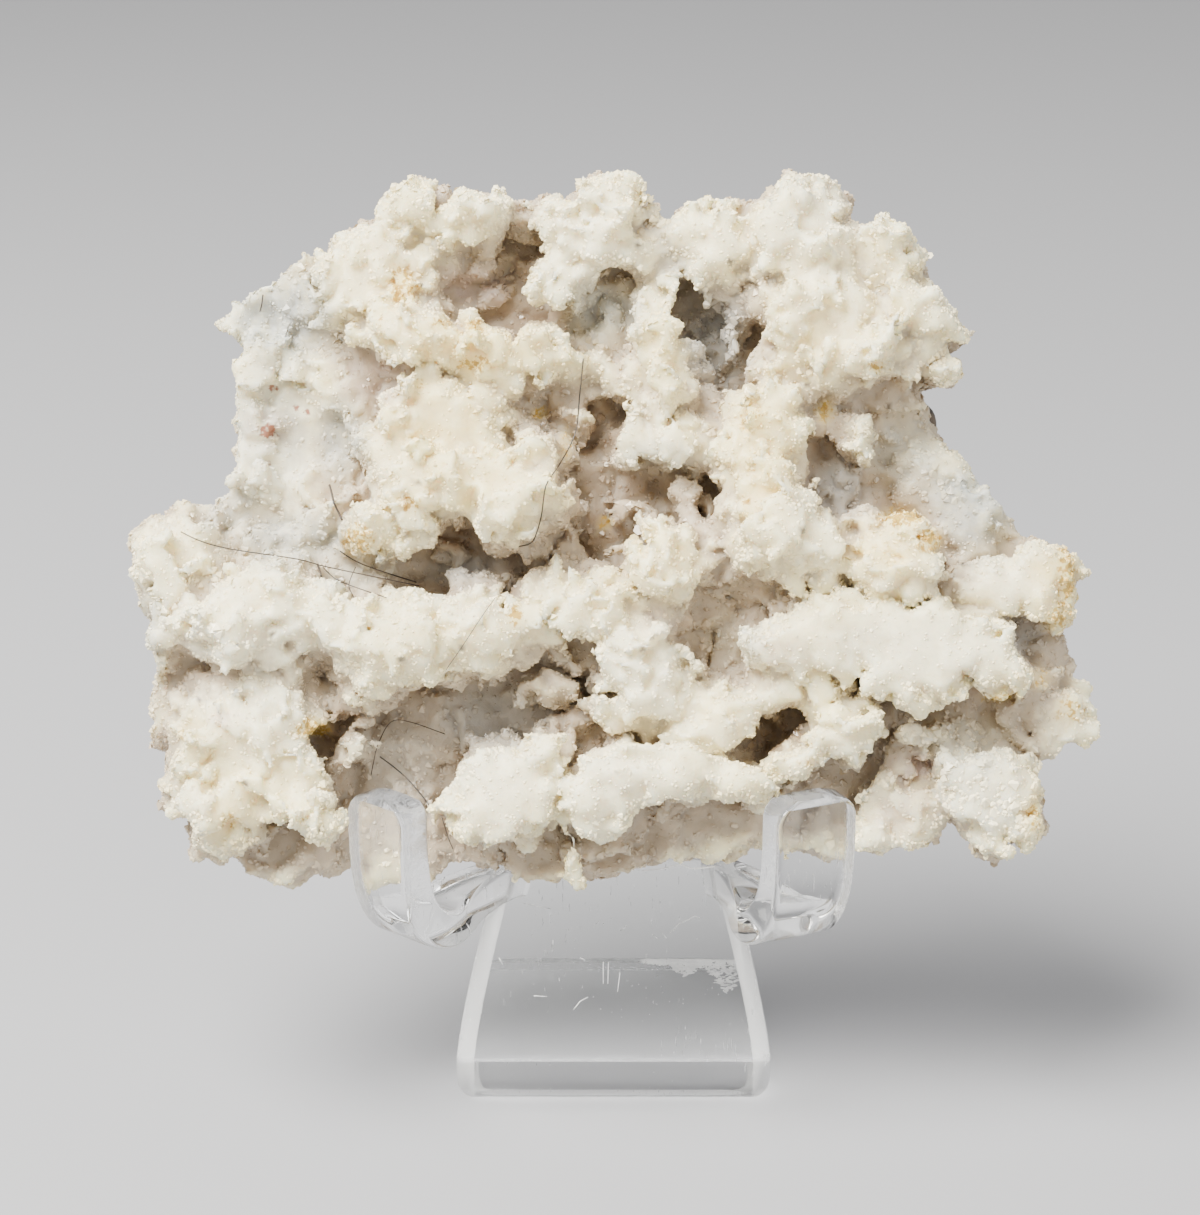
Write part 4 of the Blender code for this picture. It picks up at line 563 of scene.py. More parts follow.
def stone_level(n, du, dw):
    """The field over one level of the grid."""
    grid_u, grid_w = np.meshgrid(U_AXIS, W_AXIS, indexing="ij")
    u = grid_u + du
    w = grid_w + dw
    outline = sample(silhouette_map, grid_u + du * SHIFT_AT_OUTLINE, grid_w + dw * SHIFT_AT_OUTLINE)
    behind = min(max((TAPER_LEVELS[0] - n) / (TAPER_LEVELS[0] - TAPER_LEVELS[1]), 0.0), 1.0)
    top = sample(top_map, u, w)
    body = soft_min(outline - TAPER * behind ** 2, top - n, EDGE_BLEND)
    below_rim = np.clip(top - n, 0.0, UNDERCUT_DEPTH)
    floors = sample(floor_noise, u, w)
    lumps = sample(lump_map, u, w) + LUMP_ROUGHNESS * floors
    hollow = np.full(u.shape, FAR_BELOW)
    for (name, level, points), recess_map in zip(RECESSES, recess_maps):
        reach = sample(recess_map, u, w) + OPENING + UNDERCUT * below_rim
        over_floor = n - np.maximum(level + floors, lumps)
        hollow = np.maximum(hollow, soft_min(reach, over_floor, FLOOR_BLEND))
    body = soft_min(body, -hollow, RECESS_BLEND)
    for (name, low, high, points), ridge_map in zip(RIDGES, ridge_maps):
        reach = sample(ridge_map, u, w)
        crest = high + CREST_ROUGHNESS * floors - pillow(reach, CREST_RADIUS) - n
        ridge = np.minimum(np.minimum(reach, crest), n - low)
        body = soft_max(body, ridge, RIDGE_BLEND)
    return body


def stone_field():
    """The whole field: every level in turn, then balls, fine grain and the flat back."""
    axes = (U_AXIS, W_AXIS, N_AXIS)
    du, dw = [layered_noise(axes, WARPS, seed) for seed in WARP_SEEDS]
    field = np.empty(du.shape)
    for level, n in enumerate(N_AXIS):
        field[:, :, level] = stone_level(n, du[:, :, level], dw[:, :, level])
    for cell, height, seed in BALLS:
        field += height * scattered_balls(cell, seed)
    field += layered_noise(axes, FINE_GRAIN)
    back = N_AXIS[None, None, :] - BACK_LEVEL - layered_noise(axes[:2], BACK_GRAIN)[..., None]
    return np.minimum(field, back)


field = stone_field()
print("inside the stone:", round(float((field > 0).mean()), 3), "of the grid")

# %% [markdown]
# The stone must not pass into the easel that holds it. The easel's own solid answers how far any
# point is from it, and on which side, so the field is cut back to a small gap all round it. Then
# only the largest connected body is kept, because noise can leave crumbs in the air.

# %% Keep clear of the easel
EASEL_GAP = 0.25                # mm
EASEL_REACH = (22.0, -4.0)      # the easel is nowhere further out along u, or higher along w
SAME_PLACE = 1e-6               # metres between corners that are one
MIDDLE_CELLS = 20               # half the width of a block that is surely stone
MIDDLE_LEVELS = slice(3, 8)
OUTSIDE = -0.2


def cut_clear_of_easel(field):
    """Lowers the field near the easel's solid, and counts the points changed."""
    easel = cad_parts["acrylic_easel"]
    copy = bmesh.new()
    copy.from_mesh(easel.data)
    bmesh.ops.remove_doubles(copy, verts=copy.verts, dist=SAME_PLACE)
    tree = BVHTree.FromBMesh(copy)
    copy.free()
    near = np.argwhere(field > -0.5)
    places = np.stack((U_AXIS[near[:, 0]], W_AXIS[near[:, 1]], N_AXIS[near[:, 2]]), axis=1)
    close = (np.abs(places[:, 0]) < EASEL_REACH[0]) & (places[:, 1] < EASEL_REACH[1])
    near = near[close]
    world = world_points(places[close])
    changed = 0
    for (i, j, k), spot in zip(near, world):
        place, normal, face, distance = tree.find_nearest(Vector(spot), 2.0 * MM)
        if place is None:
            continue
        side = 1.0 if (Vector(spot) - place).dot(normal) >= 0.0 else -1.0
        gap = side * distance / MM - EASEL_GAP
        if gap < field[i, j, k]:
            field[i, j, k] = gap
            changed += 1
    return changed


def keep_one_body(field):
    """Empties every part of the field that doesn't join the stone's middle."""
    inside = field > 0
    body = np.zeros(inside.shape, bool)
    middle = [slice(size // 2 - MIDDLE_CELLS, size // 2 + MIDDLE_CELLS) for size in inside.shape[:2]]
    body[(*middle, MIDDLE_LEVELS)] = True
    body &= inside
    while True:
        grown = body.copy()
        for dimension in range(3):
            ahead = [slice(None)] * 3
            behind = [slice(None)] * 3
            ahead[dimension] = slice(1, None)
            behind[dimension] = slice(None, -1)
            grown[tuple(ahead)] |= body[tuple(behind)]
            grown[tuple(behind)] |= body[tuple(ahead)]
        grown &= inside
        if (grown == body).all():
            break
        body = grown
    field[inside & ~body] = OUTSIDE
    return int((inside & ~body).sum())


print(cut_clear_of_easel(field), "points cut back from the easel")
print(keep_one_body(field), "loose points taken away")

# %% [markdown]
# The surface is drawn as a net: one corner in every little cube of the grid that the surface
# passes through, set at the middle of its crossings, and one four-sided face for every grid edge
# that leaves the stone. The net is closed by itself and has even faces.

# %% From field to mesh


def surface_net(field, axes):
    """Corners and faces of the surface where the field is zero."""
    inside = field > 0
    shape = tuple(size - 1 for size in field.shape)
    total = np.zeros((*shape, 3))
    crossings = np.zeros(shape)
    corners = [(i, j, k) for i in (0, 1) for j in (0, 1) for k in (0, 1)]

    def part(array, corner):
        return array[tuple(slice(c, c + size) for c, size in zip(corner, shape))]

    for start in corners:
        for dimension in range(3):
            if start[dimension] == 1:
                continue
            end = tuple(c + (d == dimension) for d, c in enumerate(start))
            a = part(field, start)
            b = part(field, end)
            crossed = part(inside, start) != part(inside, end)
            share = np.where(crossed, a / np.where(crossed, a - b, 1.0), 0.0)
            for d in range(3):
                step = share if d == dimension else 0.0
                total[..., d] += crossed * (start[d] + step)
            crossings += crossed
    active = crossings > 0
    number = np.full(shape, -1)
    number[active] = np.arange(int(active.sum()))
    cells = np.argwhere(active)
    local = total[active] / crossings[active][:, None]
    steps = np.array([axis[1] - axis[0] for axis in axes])
    points = np.array([axis[0] for axis in axes]) + (cells + local) * steps
    faces = []
    for dimension in range(3):
        e1 = (dimension + 1) % 3
        e2 = (dimension + 2) % 3
        lows = [slice(None)] * 3
        highs = [slice(None)] * 3
        for e in (e1, e2):
            lows[e] = highs[e] = slice(1, -1)
        lows[dimension] = slice(None, -1)
        highs[dimension] = slice(1, None)
        change = inside[tuple(highs)].astype(int) - inside[tuple(lows)].astype(int)
        places = np.argwhere(change != 0)
        signs = change[tuple(places.T)]
        places[:, e1] += 1
        places[:, e2] += 1
        back1 = np.eye(3, dtype=int)[e1]
        back2 = np.eye(3, dtype=int)[e2]
        ring = [places - back1 - back2, places - back2, places, places - back1]
        quads = np.stack([number[tuple(spot.T)] for spot in ring], axis=1)
        quads[signs > 0] = quads[signs > 0][:, ::-1]
        faces.append(quads)
    return points, np.concatenate(faces)


stone_uwn, stone_faces = surface_net(field, (U_AXIS, W_AXIS, N_AXIS))
print(len(stone_uwn), "corners,", 2 * len(stone_faces), "triangles")

# %% [markdown]
# Colour follows place. Tan and brown are painted into the hollows as shade, thin slabs of
# chalcedony look grey and blue, and ochre spots dot the upper masses. Each of these is a value
# kept on the mesh's corners, worked out from listed spots and from how deep a corner lies below
# the rims around it, so the same functions can colour the stone and the crystals on it.

# %% Values that colour the stone
# Spots of each value: u, w, radius across, radius along, strength
SPOTS = {
    "ice": (
        (-25.0, 16.0, 5.0, 4.6, 1.0), (-26.0, 7.0, 4.0, 6.0, 0.55), (-24.0, -0.5, 6.0, 2.6, 1.0),
        (-20.5, 7.0, 2.6, 4.0, 0.9), (-29.0, 2.0, 3.0, 3.0, 0.8), (-0.8, 16.6, 3.4, 2.8, 1.0),
        (26.5, 1.6, 4.6, 4.4, 1.0), (22.0, 6.0, 3.0, 4.0, 0.7), (-18.5, -3.0, 4.0, 1.8, 0.9),
        (26.6, -16.0, 4.0, 2.6, 0.5), (-34.6, -7.0, 1.6, 3.0, 0.7), (3.6, 5.6, 4.0, 1.6, 0.5),
        (9.0, -8.0, 2.4, 2.6, 0.5),
    ),
    "white": (
        (-26.0, -9.0, 9.0, 7.0, 0.9), (-26.0, 7.0, 4.4, 8.0, 0.8), (22.0, -8.6, 9.0, 3.4, 1.0),
        (2.0, -10.0, 6.0, 5.0, 0.7), (-9.0, -18.5, 5.0, 4.0, 0.9), (0.0, -18.0, 6.0, 3.0, 0.9),
        (-12.0, -5.0, 5.0, 3.0, 0.5), (15.0, 24.0, 4.0, 3.0, 0.6), (-1.4, 23.0, 3.6, 3.6, 0.6),
        (27.0, -20.0, 4.0, 4.0, 0.8), (9.0, 16.0, 1.4, 1.6, 1.0), (28.0, -3.8, 3.4, 2.4, 0.6),
    ),
    "warm": (
        (-12.0, 7.0, 7.0, 6.0, 0.8), (-10.0, 14.0, 8.0, 3.0, 0.9), (2.4, 14.0, 3.0, 5.0, 0.5),
        (11.0, 6.0, 3.6, 6.0, 0.8), (5.0, -2.0, 6.0, 4.0, 0.6), (20.0, -1.5, 4.0, 3.0, 0.8),
        (-16.0, 18.0, 3.0, 3.0, 0.6), (-3.5, 5.0, 1.6, 4.0, 0.9), (-28.0, -22.0, 3.0, 3.0, 0.7),
        (33.0, -4.0, 2.6, 4.0, 1.0), (14.0, 13.0, 5.0, 5.0, 0.4), (31.0, -12.0, 4.0, 3.0, 0.6),
        (10.0, -16.0, 3.0, 2.0, 0.4), (31.6, -21.0, 1.6, 2.6, 0.8),
    ),
    "ochre": (
        (-15.6, 18.2, 1.3, 1.7, 0.9), (-10.3, 15.1, 0.8, 0.7, 0.9), (-10.4, 12.4, 1.6, 0.7, 0.8),
        (-12.7, 15.3, 0.9, 0.6, 0.6), (-19.0, -0.5, 1.5, 1.4, 0.8), (-15.0, 2.0, 0.9, 1.0, 0.6),
        (-7.3, -6.2, 0.5, 0.9, 0.9), (-0.7, 0.8, 0.7, 0.5, 0.9), (15.8, 9.0, 0.8, 1.0, 0.9),
        (10.2, 8.4, 1.2, 1.2, 0.5), (9.6, 1.9, 0.5, 1.0, 0.7), (21.4, 1.0, 2.0, 0.9, 1.0),
        (23.3, -0.6, 1.6, 1.2, 0.9), (33.7, -3.2, 0.9, 2.4, 1.0), (33.2, -6.2, 1.2, 1.4, 0.8),
        (29.0, -12.3, 1.4, 0.5, 0.8), (34.4, -13.4, 1.3, 1.4, 0.5), (32.0, -11.0, 1.2, 1.0, 0.5),
        (31.2, -21.2, 0.7, 1.4, 0.6), (-22.6, -14.6, 1.4, 0.9, 1.0), (-17.2, 15.2, 0.5, 0.9, 0.6),
        (19.2, 12.0, 0.7, 0.6, 0.9), (-3.6, 6.6, 0.6, 1.6, 0.5), (-14.3, 10.8, 0.5, 0.4, 0.8),
        (-28.6, -21.4, 1.0, 0.9, 0.5), (14.4, -17.0, 0.9, 0.5, 0.4), (-5.6, 9.0, 0.7, 0.5, 0.7),
    ),
    "red": (
        (-25.7, 10.9, 0.45, 0.4, 0.9), (-24.0, 9.4, 0.4, 0.3, 0.9), (-23.2, 9.1, 0.4, 0.3, 0.9),
        (-26.1, 7.7, 0.8, 0.7, 1.0), (-25.9, 5.2, 0.3, 0.3, 0.5),
    ),
    "pink": (
        (-26.0, 7.8, 2.4, 1.8, 0.5), (-11.0, 18.6, 2.0, 1.4, 0.9), (-18.2, 11.6, 2.6, 1.6, 0.6),
        (-16.2, 10.0, 1.4, 1.0, 0.8), (22.6, -17.8, 2.2, 1.4, 1.0), (12.0, -9.0, 2.0, 2.0, 0.4),
        (-28.8, -13.8, 1.8, 0.9, 0.7), (22.0, -20.6, 3.4, 2.6, 0.7), (3.6, -7.0, 2.0, 1.6, 0.3),
        (-9.0, 18.0, 1.4, 2.0, 0.8), (27.0, 22.0, 2.0, 2.0, 0.6),
    ),
    # brown spots: painted shade, shown only in the hollows
    "brown": (
        (-6.8, 19.6, 1.2, 2.0, 0.5), (-6.0, 16.2, 2.6, 1.0, 0.7), (-5.0, 8.8, 1.2, 0.8, 0.6),
        (-0.9, 8.0, 1.8, 2.4, 0.8), (0.6, 3.6, 3.6, 1.4, 0.6), (-22.0, -15.0, 2.2, 1.2, 1.0),
        (-20.5, -13.8, 1.8, 0.8, 0.8), (12.4, -15.6, 2.6, 1.8, 0.9), (23.6, -12.2, 1.6, 0.6, 1.0),
        (27.2, -11.6, 2.0, 0.8, 0.9), (-11.4, -0.6, 2.4, 1.2, 0.8), (-0.8, 0.6, 2.0, 1.4, 0.6),
        (9.6, -6.4, 1.6, 1.4, 0.5), (-7.6, -4.4, 0.6, 0.6, 0.8), (16.6, 6.0, 2.4, 1.2, 0.25),
        (-3.0, -13.4, 1.6, 1.6, 0.4), (-6.8, -21.4, 2.0, 1.2, 0.5), (-17.5, -3.6, 0.8, 0.6, 0.6),
    ),
    # grey spots: the chalcedony's own grey, shown only in the hollows, partly as painted shade
    "grey": (
        (7.6, 14.4, 3.0, 4.0, 1.0), (6.0, 17.4, 1.6, 1.6, 0.8), (17.0, 3.6, 2.4, 2.6, 0.8),
        (-12.0, -2.6, 3.4, 1.6, 0.8), (-9.6, -14.0, 5.0, 3.0, 0.7), (-16.0, -18.0, 4.0, 5.0, 0.4),
        (30.4, -7.8, 2.6, 1.6, 0.6), (4.2, 20.0, 1.6, 3.0, 0.4),
    ),
}
DOT_RADIUS = 0.26
DARK_DOTS = (
    (2.1, -8.6), (-30.9, -12.5), (-27.2, -18.6), (-25.2, -7.6), (14.3, 10.9), (13.8, 0.0),
    (-34.5, -4.1), (-14.5, 3.5), (-7.7, -3.7), (1.8, 21.2), (-21.6, -22.0), (-7.6, 19.8),
    (9.3, 15.4), (-15.6, -9.4), (-11.2, -8.6), (20.6, 9.4), (26.0, -2.4), (8.6, 20.0),
)
SPOTS["dots"] = [(u, w, DOT_RADIUS, DOT_RADIUS, 1.0) for u, w in DARK_DOTS]
SPOT_FADE = (0.35, 1.25)        # shares of a spot's radius between which it fades out
NO_STONE = -6.0                 # level given where there is no stone
RIM_REACH = 7                   # cells of the field within which a rim counts for a hollow
RIM_BLUR = 6
DEEPEST = 8.0                   # mm below the rims where the depth value is 1


def spot_value(points, spots):
    """The strongest of the soft spots at each place."""
    value = np.zeros(len(points))
    for u, w, across, along, strength in spots:
        reach = np.sqrt(((points[:, 0] - u) / across) ** 2 + ((points[:, 1] - w) / along) ** 2)
        value = np.maximum(value, strength * (1.0 - step_up(reach, *SPOT_FADE)))
    return value


def top_surface(field):
    """The level of the stone's front at each u and w of the grid."""
    inside = field > 0
    highest = inside.shape[2] - 1 - np.argmax(inside[:, :, ::-1], axis=2)
    return np.where(inside.any(axis=2), N_AXIS[highest] + 0.5 * GRID, NO_STONE)


def spread(values, cells, keep):
    """Each value becomes the largest, or the mean, of those within some cells along u and w."""
    for dimension in (0, 1):
        moved = [np.roll(values, shift, axis=dimension) for shift in range(-cells, cells + 1)]
        values = keep(moved, axis=0)
    return values


front = top_surface(field)
rims = spread(spread(front, RIM_REACH, np.max), RIM_BLUR, np.mean)
nearest = [
    np.clip(((MAP_POINTS[..., d] - axis[0]) / GRID).round().astype(int), 0, len(axis) - 1)
    for d, axis in enumerate((U_AXIS, W_AXIS))]
rim_map = spread(rims[tuple(nearest)], 2, np.mean)
front_map = spread(front[tuple(nearest)], 1, np.mean)
print("rims up to", round(float(rim_map.max()), 2), "mm")

# %% [markdown]
# The net is finer than its flattest parts need, so a Decimate modifier merges corners there. It
# leaves the corners near the smallest dots alone, because a colour that is kept on corners needs
# corners to hold it. The values are worked out after that, on the corners that are left.

# %% The stone's mesh
DOT_CLEARANCE = 1.2             # mm around a dot where no corner of the net is merged
STONE_TRIANGLES = 194000        # the most that the stone's mesh needs


def triangles(mesh):
    """How many triangles a mesh holds."""
    return sum(len(face.vertices) - 2 for face in mesh.polygons)


def evaluated_mesh(thing):
    """A plain mesh of what an object's modifiers or its curve come to."""
    bpy.context.view_layer.update()
    graph = bpy.context.evaluated_depsgraph_get()
    return bpy.data.meshes.new_from_object(thing.evaluated_get(graph))


def corner_places(mesh):
    """The corners of a mesh as rows of x, y, z in metres."""
    places = np.empty(len(mesh.vertices) * 3, np.float32)
    mesh.vertices.foreach_get("co", places)
    return places.reshape(-1, 3)


def keep_value(mesh, name, value):
    """Keeps one number for each corner on the mesh, under a name that a material can read."""
    layer = mesh.attributes.new(name, "FLOAT", "POINT")
    layer.data.foreach_set("value", value.astype(np.float32))


def add_values(mesh, points):
    """Keeps every colouring value on the mesh's corners."""
    # the depth below the rims is the mask of the shade painted into the hollows
    below = sample(rim_map, points[:, 0], points[:, 1]) - points[:, 2]
    keep_value(mesh, "depth", np.clip(below / DEEPEST, 0.0, 1.0))
    for name, spots in SPOTS.items():
        keep_value(mesh, name, spot_value(points, spots))


def near_dots(points):
    """Whether each place lies near a small dot, whose colour needs every corner of the net."""
    dots = np.array([*DARK_DOTS, *[spot[:2] for spot in SPOTS["red"]]])
    near = np.zeros(len(points), bool)
    for dot in dots:
        near |= np.linalg.norm(points[:, :2] - dot, axis=1) < DOT_CLEARANCE
    return near


def stone_mesh():
    """The net with its flattest corners merged, and the colouring values on what is left."""
    net = bpy.data.meshes.new("net")
    net.from_pydata(world_points(stone_uwn).tolist(), [], stone_faces.tolist())
    net.validate()
    full = add_object("net", net)
    mergeable = full.vertex_groups.new(name="mergeable")
    mergeable.add(np.flatnonzero(~near_dots(stone_uwn)).tolist(), 1.0, "REPLACE")
    thinning = full.modifiers.new("thinning", "DECIMATE")
    thinning.ratio = STONE_TRIANGLES / (2 * len(stone_faces))
    thinning.vertex_group = mergeable.name
    mesh = evaluated_mesh(full)
    bpy.data.objects.remove(full, do_unlink=True)
    mesh.name = "stone"
    mesh.shade_smooth()
    add_values(mesh, stone_points(corner_places(mesh)))
    return mesh


stone = add_object("stone", stone_mesh())
stone.vertex_groups.clear()
print("stone:", triangles(stone.data), "triangles")
print("stone's box in mm:", (stone_uwn.min(0)).round(2), (stone_uwn.max(0)).round(2))

# %% [markdown]
# The finish of the stone. Chalcedony is a milky, slightly see-through quartz: light goes a
# millimetre or two into it and comes out again, which fills the shadows between the grains. That
# is subsurface scattering. The colour is built up in layers: cream, then whiter and greyer zones,
# then tan, brown and grey painted into the hollows as shade, the grey partly the stone's own, then
# stains. One shader group does it from the values on the mesh, so the stone and its crystals can't
# differ in colour by mistake.

# %% Colour group of the stone
CREAM = (0.885, 0.785, 0.47)
WHITE = (0.91, 0.845, 0.62)
WARM = (0.885, 0.72, 0.33)
ICE = (0.45, 0.465, 0.43)
# painted shade of the hollows: tan, and a deeper tan at their bottoms
PAINTED_SHADE_TAN = (0.47, 0.38, 0.275)
DEEP_PAINTED_SHADE_TAN = (0.46, 0.365, 0.26)
# grey: the chalcedony's own grey-blue, used in the hollows partly as painted shade
GREY_AND_PAINTED_SHADE = (0.46, 0.44, 0.395)
PINK = (0.60, 0.46, 0.40)
# painted shade: brown in the hollows
PAINTED_SHADE_BROWN = (0.30, 0.205, 0.125)
DOT = (0.06, 0.04, 0.03)
OCHRE = (0.54, 0.34, 0.07)
YELLOW = (0.86, 0.67, 0.25)
RED = (0.27, 0.075, 0.035)


class Nodes:
    """Short ways to add and link shader nodes in one tree."""

    def __init__(self, tree):
        self.tree = tree

    def new(self, kind, **settings):
        node = self.tree.nodes.new(kind)
        for name, value in settings.items():
            setattr(node, name, value)
        return node

    def feed(self, socket, value):
        if isinstance(value, bpy.types.NodeSocket):
            self.tree.links.new(value, socket)
        elif isinstance(value, tuple) and len(value) == 3 and socket.type == "RGBA":
            socket.default_value = (*value, 1.0)
        else:
            socket.default_value = value

    def value(self, name):
        return self.new("ShaderNodeAttribute", attribute_name=name).outputs["Fac"]

    def math(self, operation, a, b=0.0, clamp=False):
        node = self.new("ShaderNodeMath", operation=operation, use_clamp=clamp)
        self.feed(node.inputs[0], a)
        self.feed(node.inputs[1], b)
        return node.outputs[0]

    def spread(self, value, low, high, out_low=0.0, out_high=1.0):
        node = self.new("ShaderNodeMapRange", interpolation_type="SMOOTHSTEP")
        for index, number in enumerate((value, low, high, out_low, out_high)):
            self.feed(node.inputs[index], number)
        return node.outputs[0]

    def mix(self, factor, a, b, blend="MIX"):
        node = self.new("ShaderNodeMix", data_type="RGBA", blend_type=blend)
        self.feed(node.inputs[0], factor)
        self.feed(node.inputs[6], a)
        self.feed(node.inputs[7], b)
        return node.outputs[2]

    def bump(self, shader, height, distance_mm):
        node = self.new("ShaderNodeBump")
        self.feed(node.inputs["Height"], height)
        node.inputs["Distance"].default_value = distance_mm * MM
        self.feed(shader.inputs["Normal"], node.outputs["Normal"])
        return node

    def noise(self, place, size_mm, detail=2.0, roughness=0.5):
        node = self.new("ShaderNodeTexNoise")
        self.feed(node.inputs["Vector"], place)
        self.feed(node.inputs["Scale"], 1.0 / (size_mm * MM))
        self.feed(node.inputs["Detail"], detail)
        self.feed(node.inputs["Roughness"], roughness)
        return node.outputs["Fac"]


def new_group(name, inputs, outputs):
    """An empty group of shader nodes with its named sockets."""
    group = bpy.data.node_groups.new(name, "ShaderNodeTree")
    for socket, kind in inputs:
        group.interface.new_socket(socket, in_out="INPUT", socket_type=kind)
    for socket, kind in outputs:
        group.interface.new_socket(socket, in_out="OUTPUT", socket_type=kind)
    return group, group.nodes.new("NodeGroupInput"), group.nodes.new("NodeGroupOutput")


def chalcedony_colour_group():
    group, given, result = new_group(
        "chalcedony_colour",
        [("Place", "NodeSocketVector"), ("Grain", "NodeSocketFloat")],
        [("Color", "NodeSocketColor"), ("Clear", "NodeSocketFloat")])
    n = Nodes(group)
    place = given.outputs["Place"]
    patches = n.noise(place, 6.0, 3.0, 0.6)
    mottle = n.noise(place, 1.6, 3.0, 0.6)
    fine = n.noise(place, 0.55, 2.0, 0.6)
    # Cream, whiter and warmer zones, and the grey-blue of thin slabs
    color = n.mix(n.spread(patches, 0.35, 0.65, 0.0, 0.6), CREAM, WHITE)
    color = n.mix(n.math("MULTIPLY", n.value("white"), 0.85), color, WHITE)
    warm = n.math("MULTIPLY", n.value("warm"), n.spread(mottle, 0.3, 0.7, 0.35, 0.9))
    color = n.mix(warm, color, WARM)
    ice = n.math("MULTIPLY", n.value("ice"), n.spread(mottle, 0.3, 0.65, 0.6, 1.0))
    color = n.mix(ice, color, ICE)
    # Painted shade: tan by depth, deeper tan at the bottom, and grey in the hollows,
    # which is partly the chalcedony's own grey and partly painted shade
    depth = n.math("ADD", n.value("depth"), n.spread(mottle, 0.3, 0.7, -0.06, 0.06))
    tan = n.spread(depth, 0.25, 0.56, 0.0, 0.95)
    tan = n.math("MULTIPLY", tan, n.math("SUBTRACT", 1.0, n.math("MULTIPLY", n.value("ice"), 0.75)))
    color = n.mix(tan, color, PAINTED_SHADE_TAN)
    deep = n.spread(depth, 0.62, 1.0, 0.0, 0.7)
    color = n.mix(deep, color, DEEP_PAINTED_SHADE_TAN)
    hollow = n.spread(depth, 0.14, 0.4)
    grey = n.math("MULTIPLY", n.math("MULTIPLY", n.value("grey"), hollow), 0.9)
    color = n.mix(grey, color, GREY_AND_PAINTED_SHADE)
    # Stains: pink, ochre with freckled edges, red and dark dots; brown in the hollows is painted shade
    pink = n.math("MULTIPLY", n.value("pink"), n.spread(mottle, 0.35, 0.6, 0.2, 0.7))
    color = n.mix(pink, color, PINK)
    brown = n.math("MULTIPLY", n.value("brown"), hollow)
    brown = n.math("MULTIPLY", brown, n.spread(mottle, 0.3, 0.6, 0.35, 0.95))
    color = n.mix(brown, color, PAINTED_SHADE_BROWN)
    color = n.mix(n.math("MULTIPLY", n.value("ochre"), 0.7), color, YELLOW)
    freckles = n.noise(place, 0.42, 2.0, 0.6)
    blotch = n.math("ADD", n.value("ochre"), n.spread(freckles, 0.35, 0.65, -0.75, 0.3))
    color = n.mix(n.spread(blotch, 0.25, 0.8, 0.0, 0.95), color, OCHRE)
    spot = n.math("ADD", n.value("red"), n.spread(fine, 0.3, 0.7, -0.4, 0.3))
    color = n.mix(n.spread(spot, 0.35, 0.9, 0.0, 0.9), color, RED)
    color = n.mix(n.math("MULTIPLY", n.value("dots"), 0.85), color, DOT)
    # Each crystal a little lighter or darker than the next
    grain = n.spread(given.outputs["Grain"], 0.0, 1.0, 0.90, 1.05)
    shade = n.new("ShaderNodeCombineColor")
    for index in range(3):
        n.feed(shade.inputs[index], grain)
    color = n.mix(1.0, color, shade.outputs[0], "MULTIPLY")
    n.feed(result.inputs["Color"], color)
    n.feed(result.inputs["Clear"], ice)
    return group


colour_group = chalcedony_colour_group()
print("colour group with", len(colour_group.nodes), "nodes")

# %% [markdown]
# Two materials use that group: the ground of the stone between the crystals, which is rougher
# and has a fine bump, and the crystals themselves, whose faces are flat and glossy, so that a
# few of them catch the light and sparkle.

# %% Stone materials
SCATTER = (1.0, 0.82, 0.62)     # how far red, green and blue light go, beside each other
SCATTER_MM = 1.8
QUARTZ_IOR = 1.54
QUARTZ_SHINE = 0.38
BUMP_STRENGTH = 0.8


def new_finish(name):
    """A material, its node helper, its shader, and the place that its patterns read."""
    stuff = bpy.data.materials.new(name)
    stuff.use_nodes = True
    n = Nodes(stuff.node_tree)
    shader = stuff.node_tree.nodes["Principled BSDF"]
    return stuff, n, shader, n.new("ShaderNodeTexCoord").outputs["Object"]


def chalcedony_material(name, roughness, bump_mm, grain_name, scatter):
    """The stone's finish, on the ground between the crystals or on the crystals themselves."""
    stuff, n, shader, place = new_finish(name)
    group = n.new("ShaderNodeGroup", node_tree=colour_group)
    n.feed(group.inputs["Place"], place)
    grain = n.value(grain_name) if grain_name else n.noise(place, 0.5, 1.0)
    n.feed(group.inputs["Grain"], grain)
    n.feed(shader.inputs["Base Color"], group.outputs["Color"])
    n.feed(shader.inputs["Roughness"], n.spread(n.noise(place, 0.7), 0.3, 0.7, *roughness))
    shader.inputs["Subsurface Weight"].default_value = scatter
    shader.inputs["Subsurface Radius"].default_value = SCATTER
    shader.inputs["Subsurface Scale"].default_value = SCATTER_MM * MM
    shader.inputs["IOR"].default_value = QUARTZ_IOR
    shader.inputs["Specular IOR Level"].default_value = QUARTZ_SHINE
    if bump_mm:
        bump = n.bump(shader, n.noise(place, 0.35, 3.0, 0.7), bump_mm)
        bump.inputs["Strength"].default_value = BUMP_STRENGTH
    return stuff


ground_stuff = chalcedony_material("chalcedony_ground", (0.35, 0.6), 0.08, None, 0.8)
crystal_stuff = chalcedony_material("chalcedony_crystals", (0.3, 0.55), 0.0, "tone", 0.0)
stone.data.materials.append(ground_stuff)
print("stone materials:", ground_stuff.name, crystal_stuff.name)

# %% [markdown]
# The druse. Thousands of small quartz crystals cover the stone, each a six-sided point half
# sunk in it. They could be modelled one by one and copied, but Geometry Nodes do it in one tree:
# they scatter points over the surface by density, stand a crystal on each with some tilt, and
# keep a random tone for each. On the real stone the steep sides of the masses are coated thickly
# and the smooth tops thinly, so steep and flat faces get crystals of their own sizes. The stone
# is taken in bands from left to right, so that no piece is too heavy. The back, which the dark
# rock covers, has none.

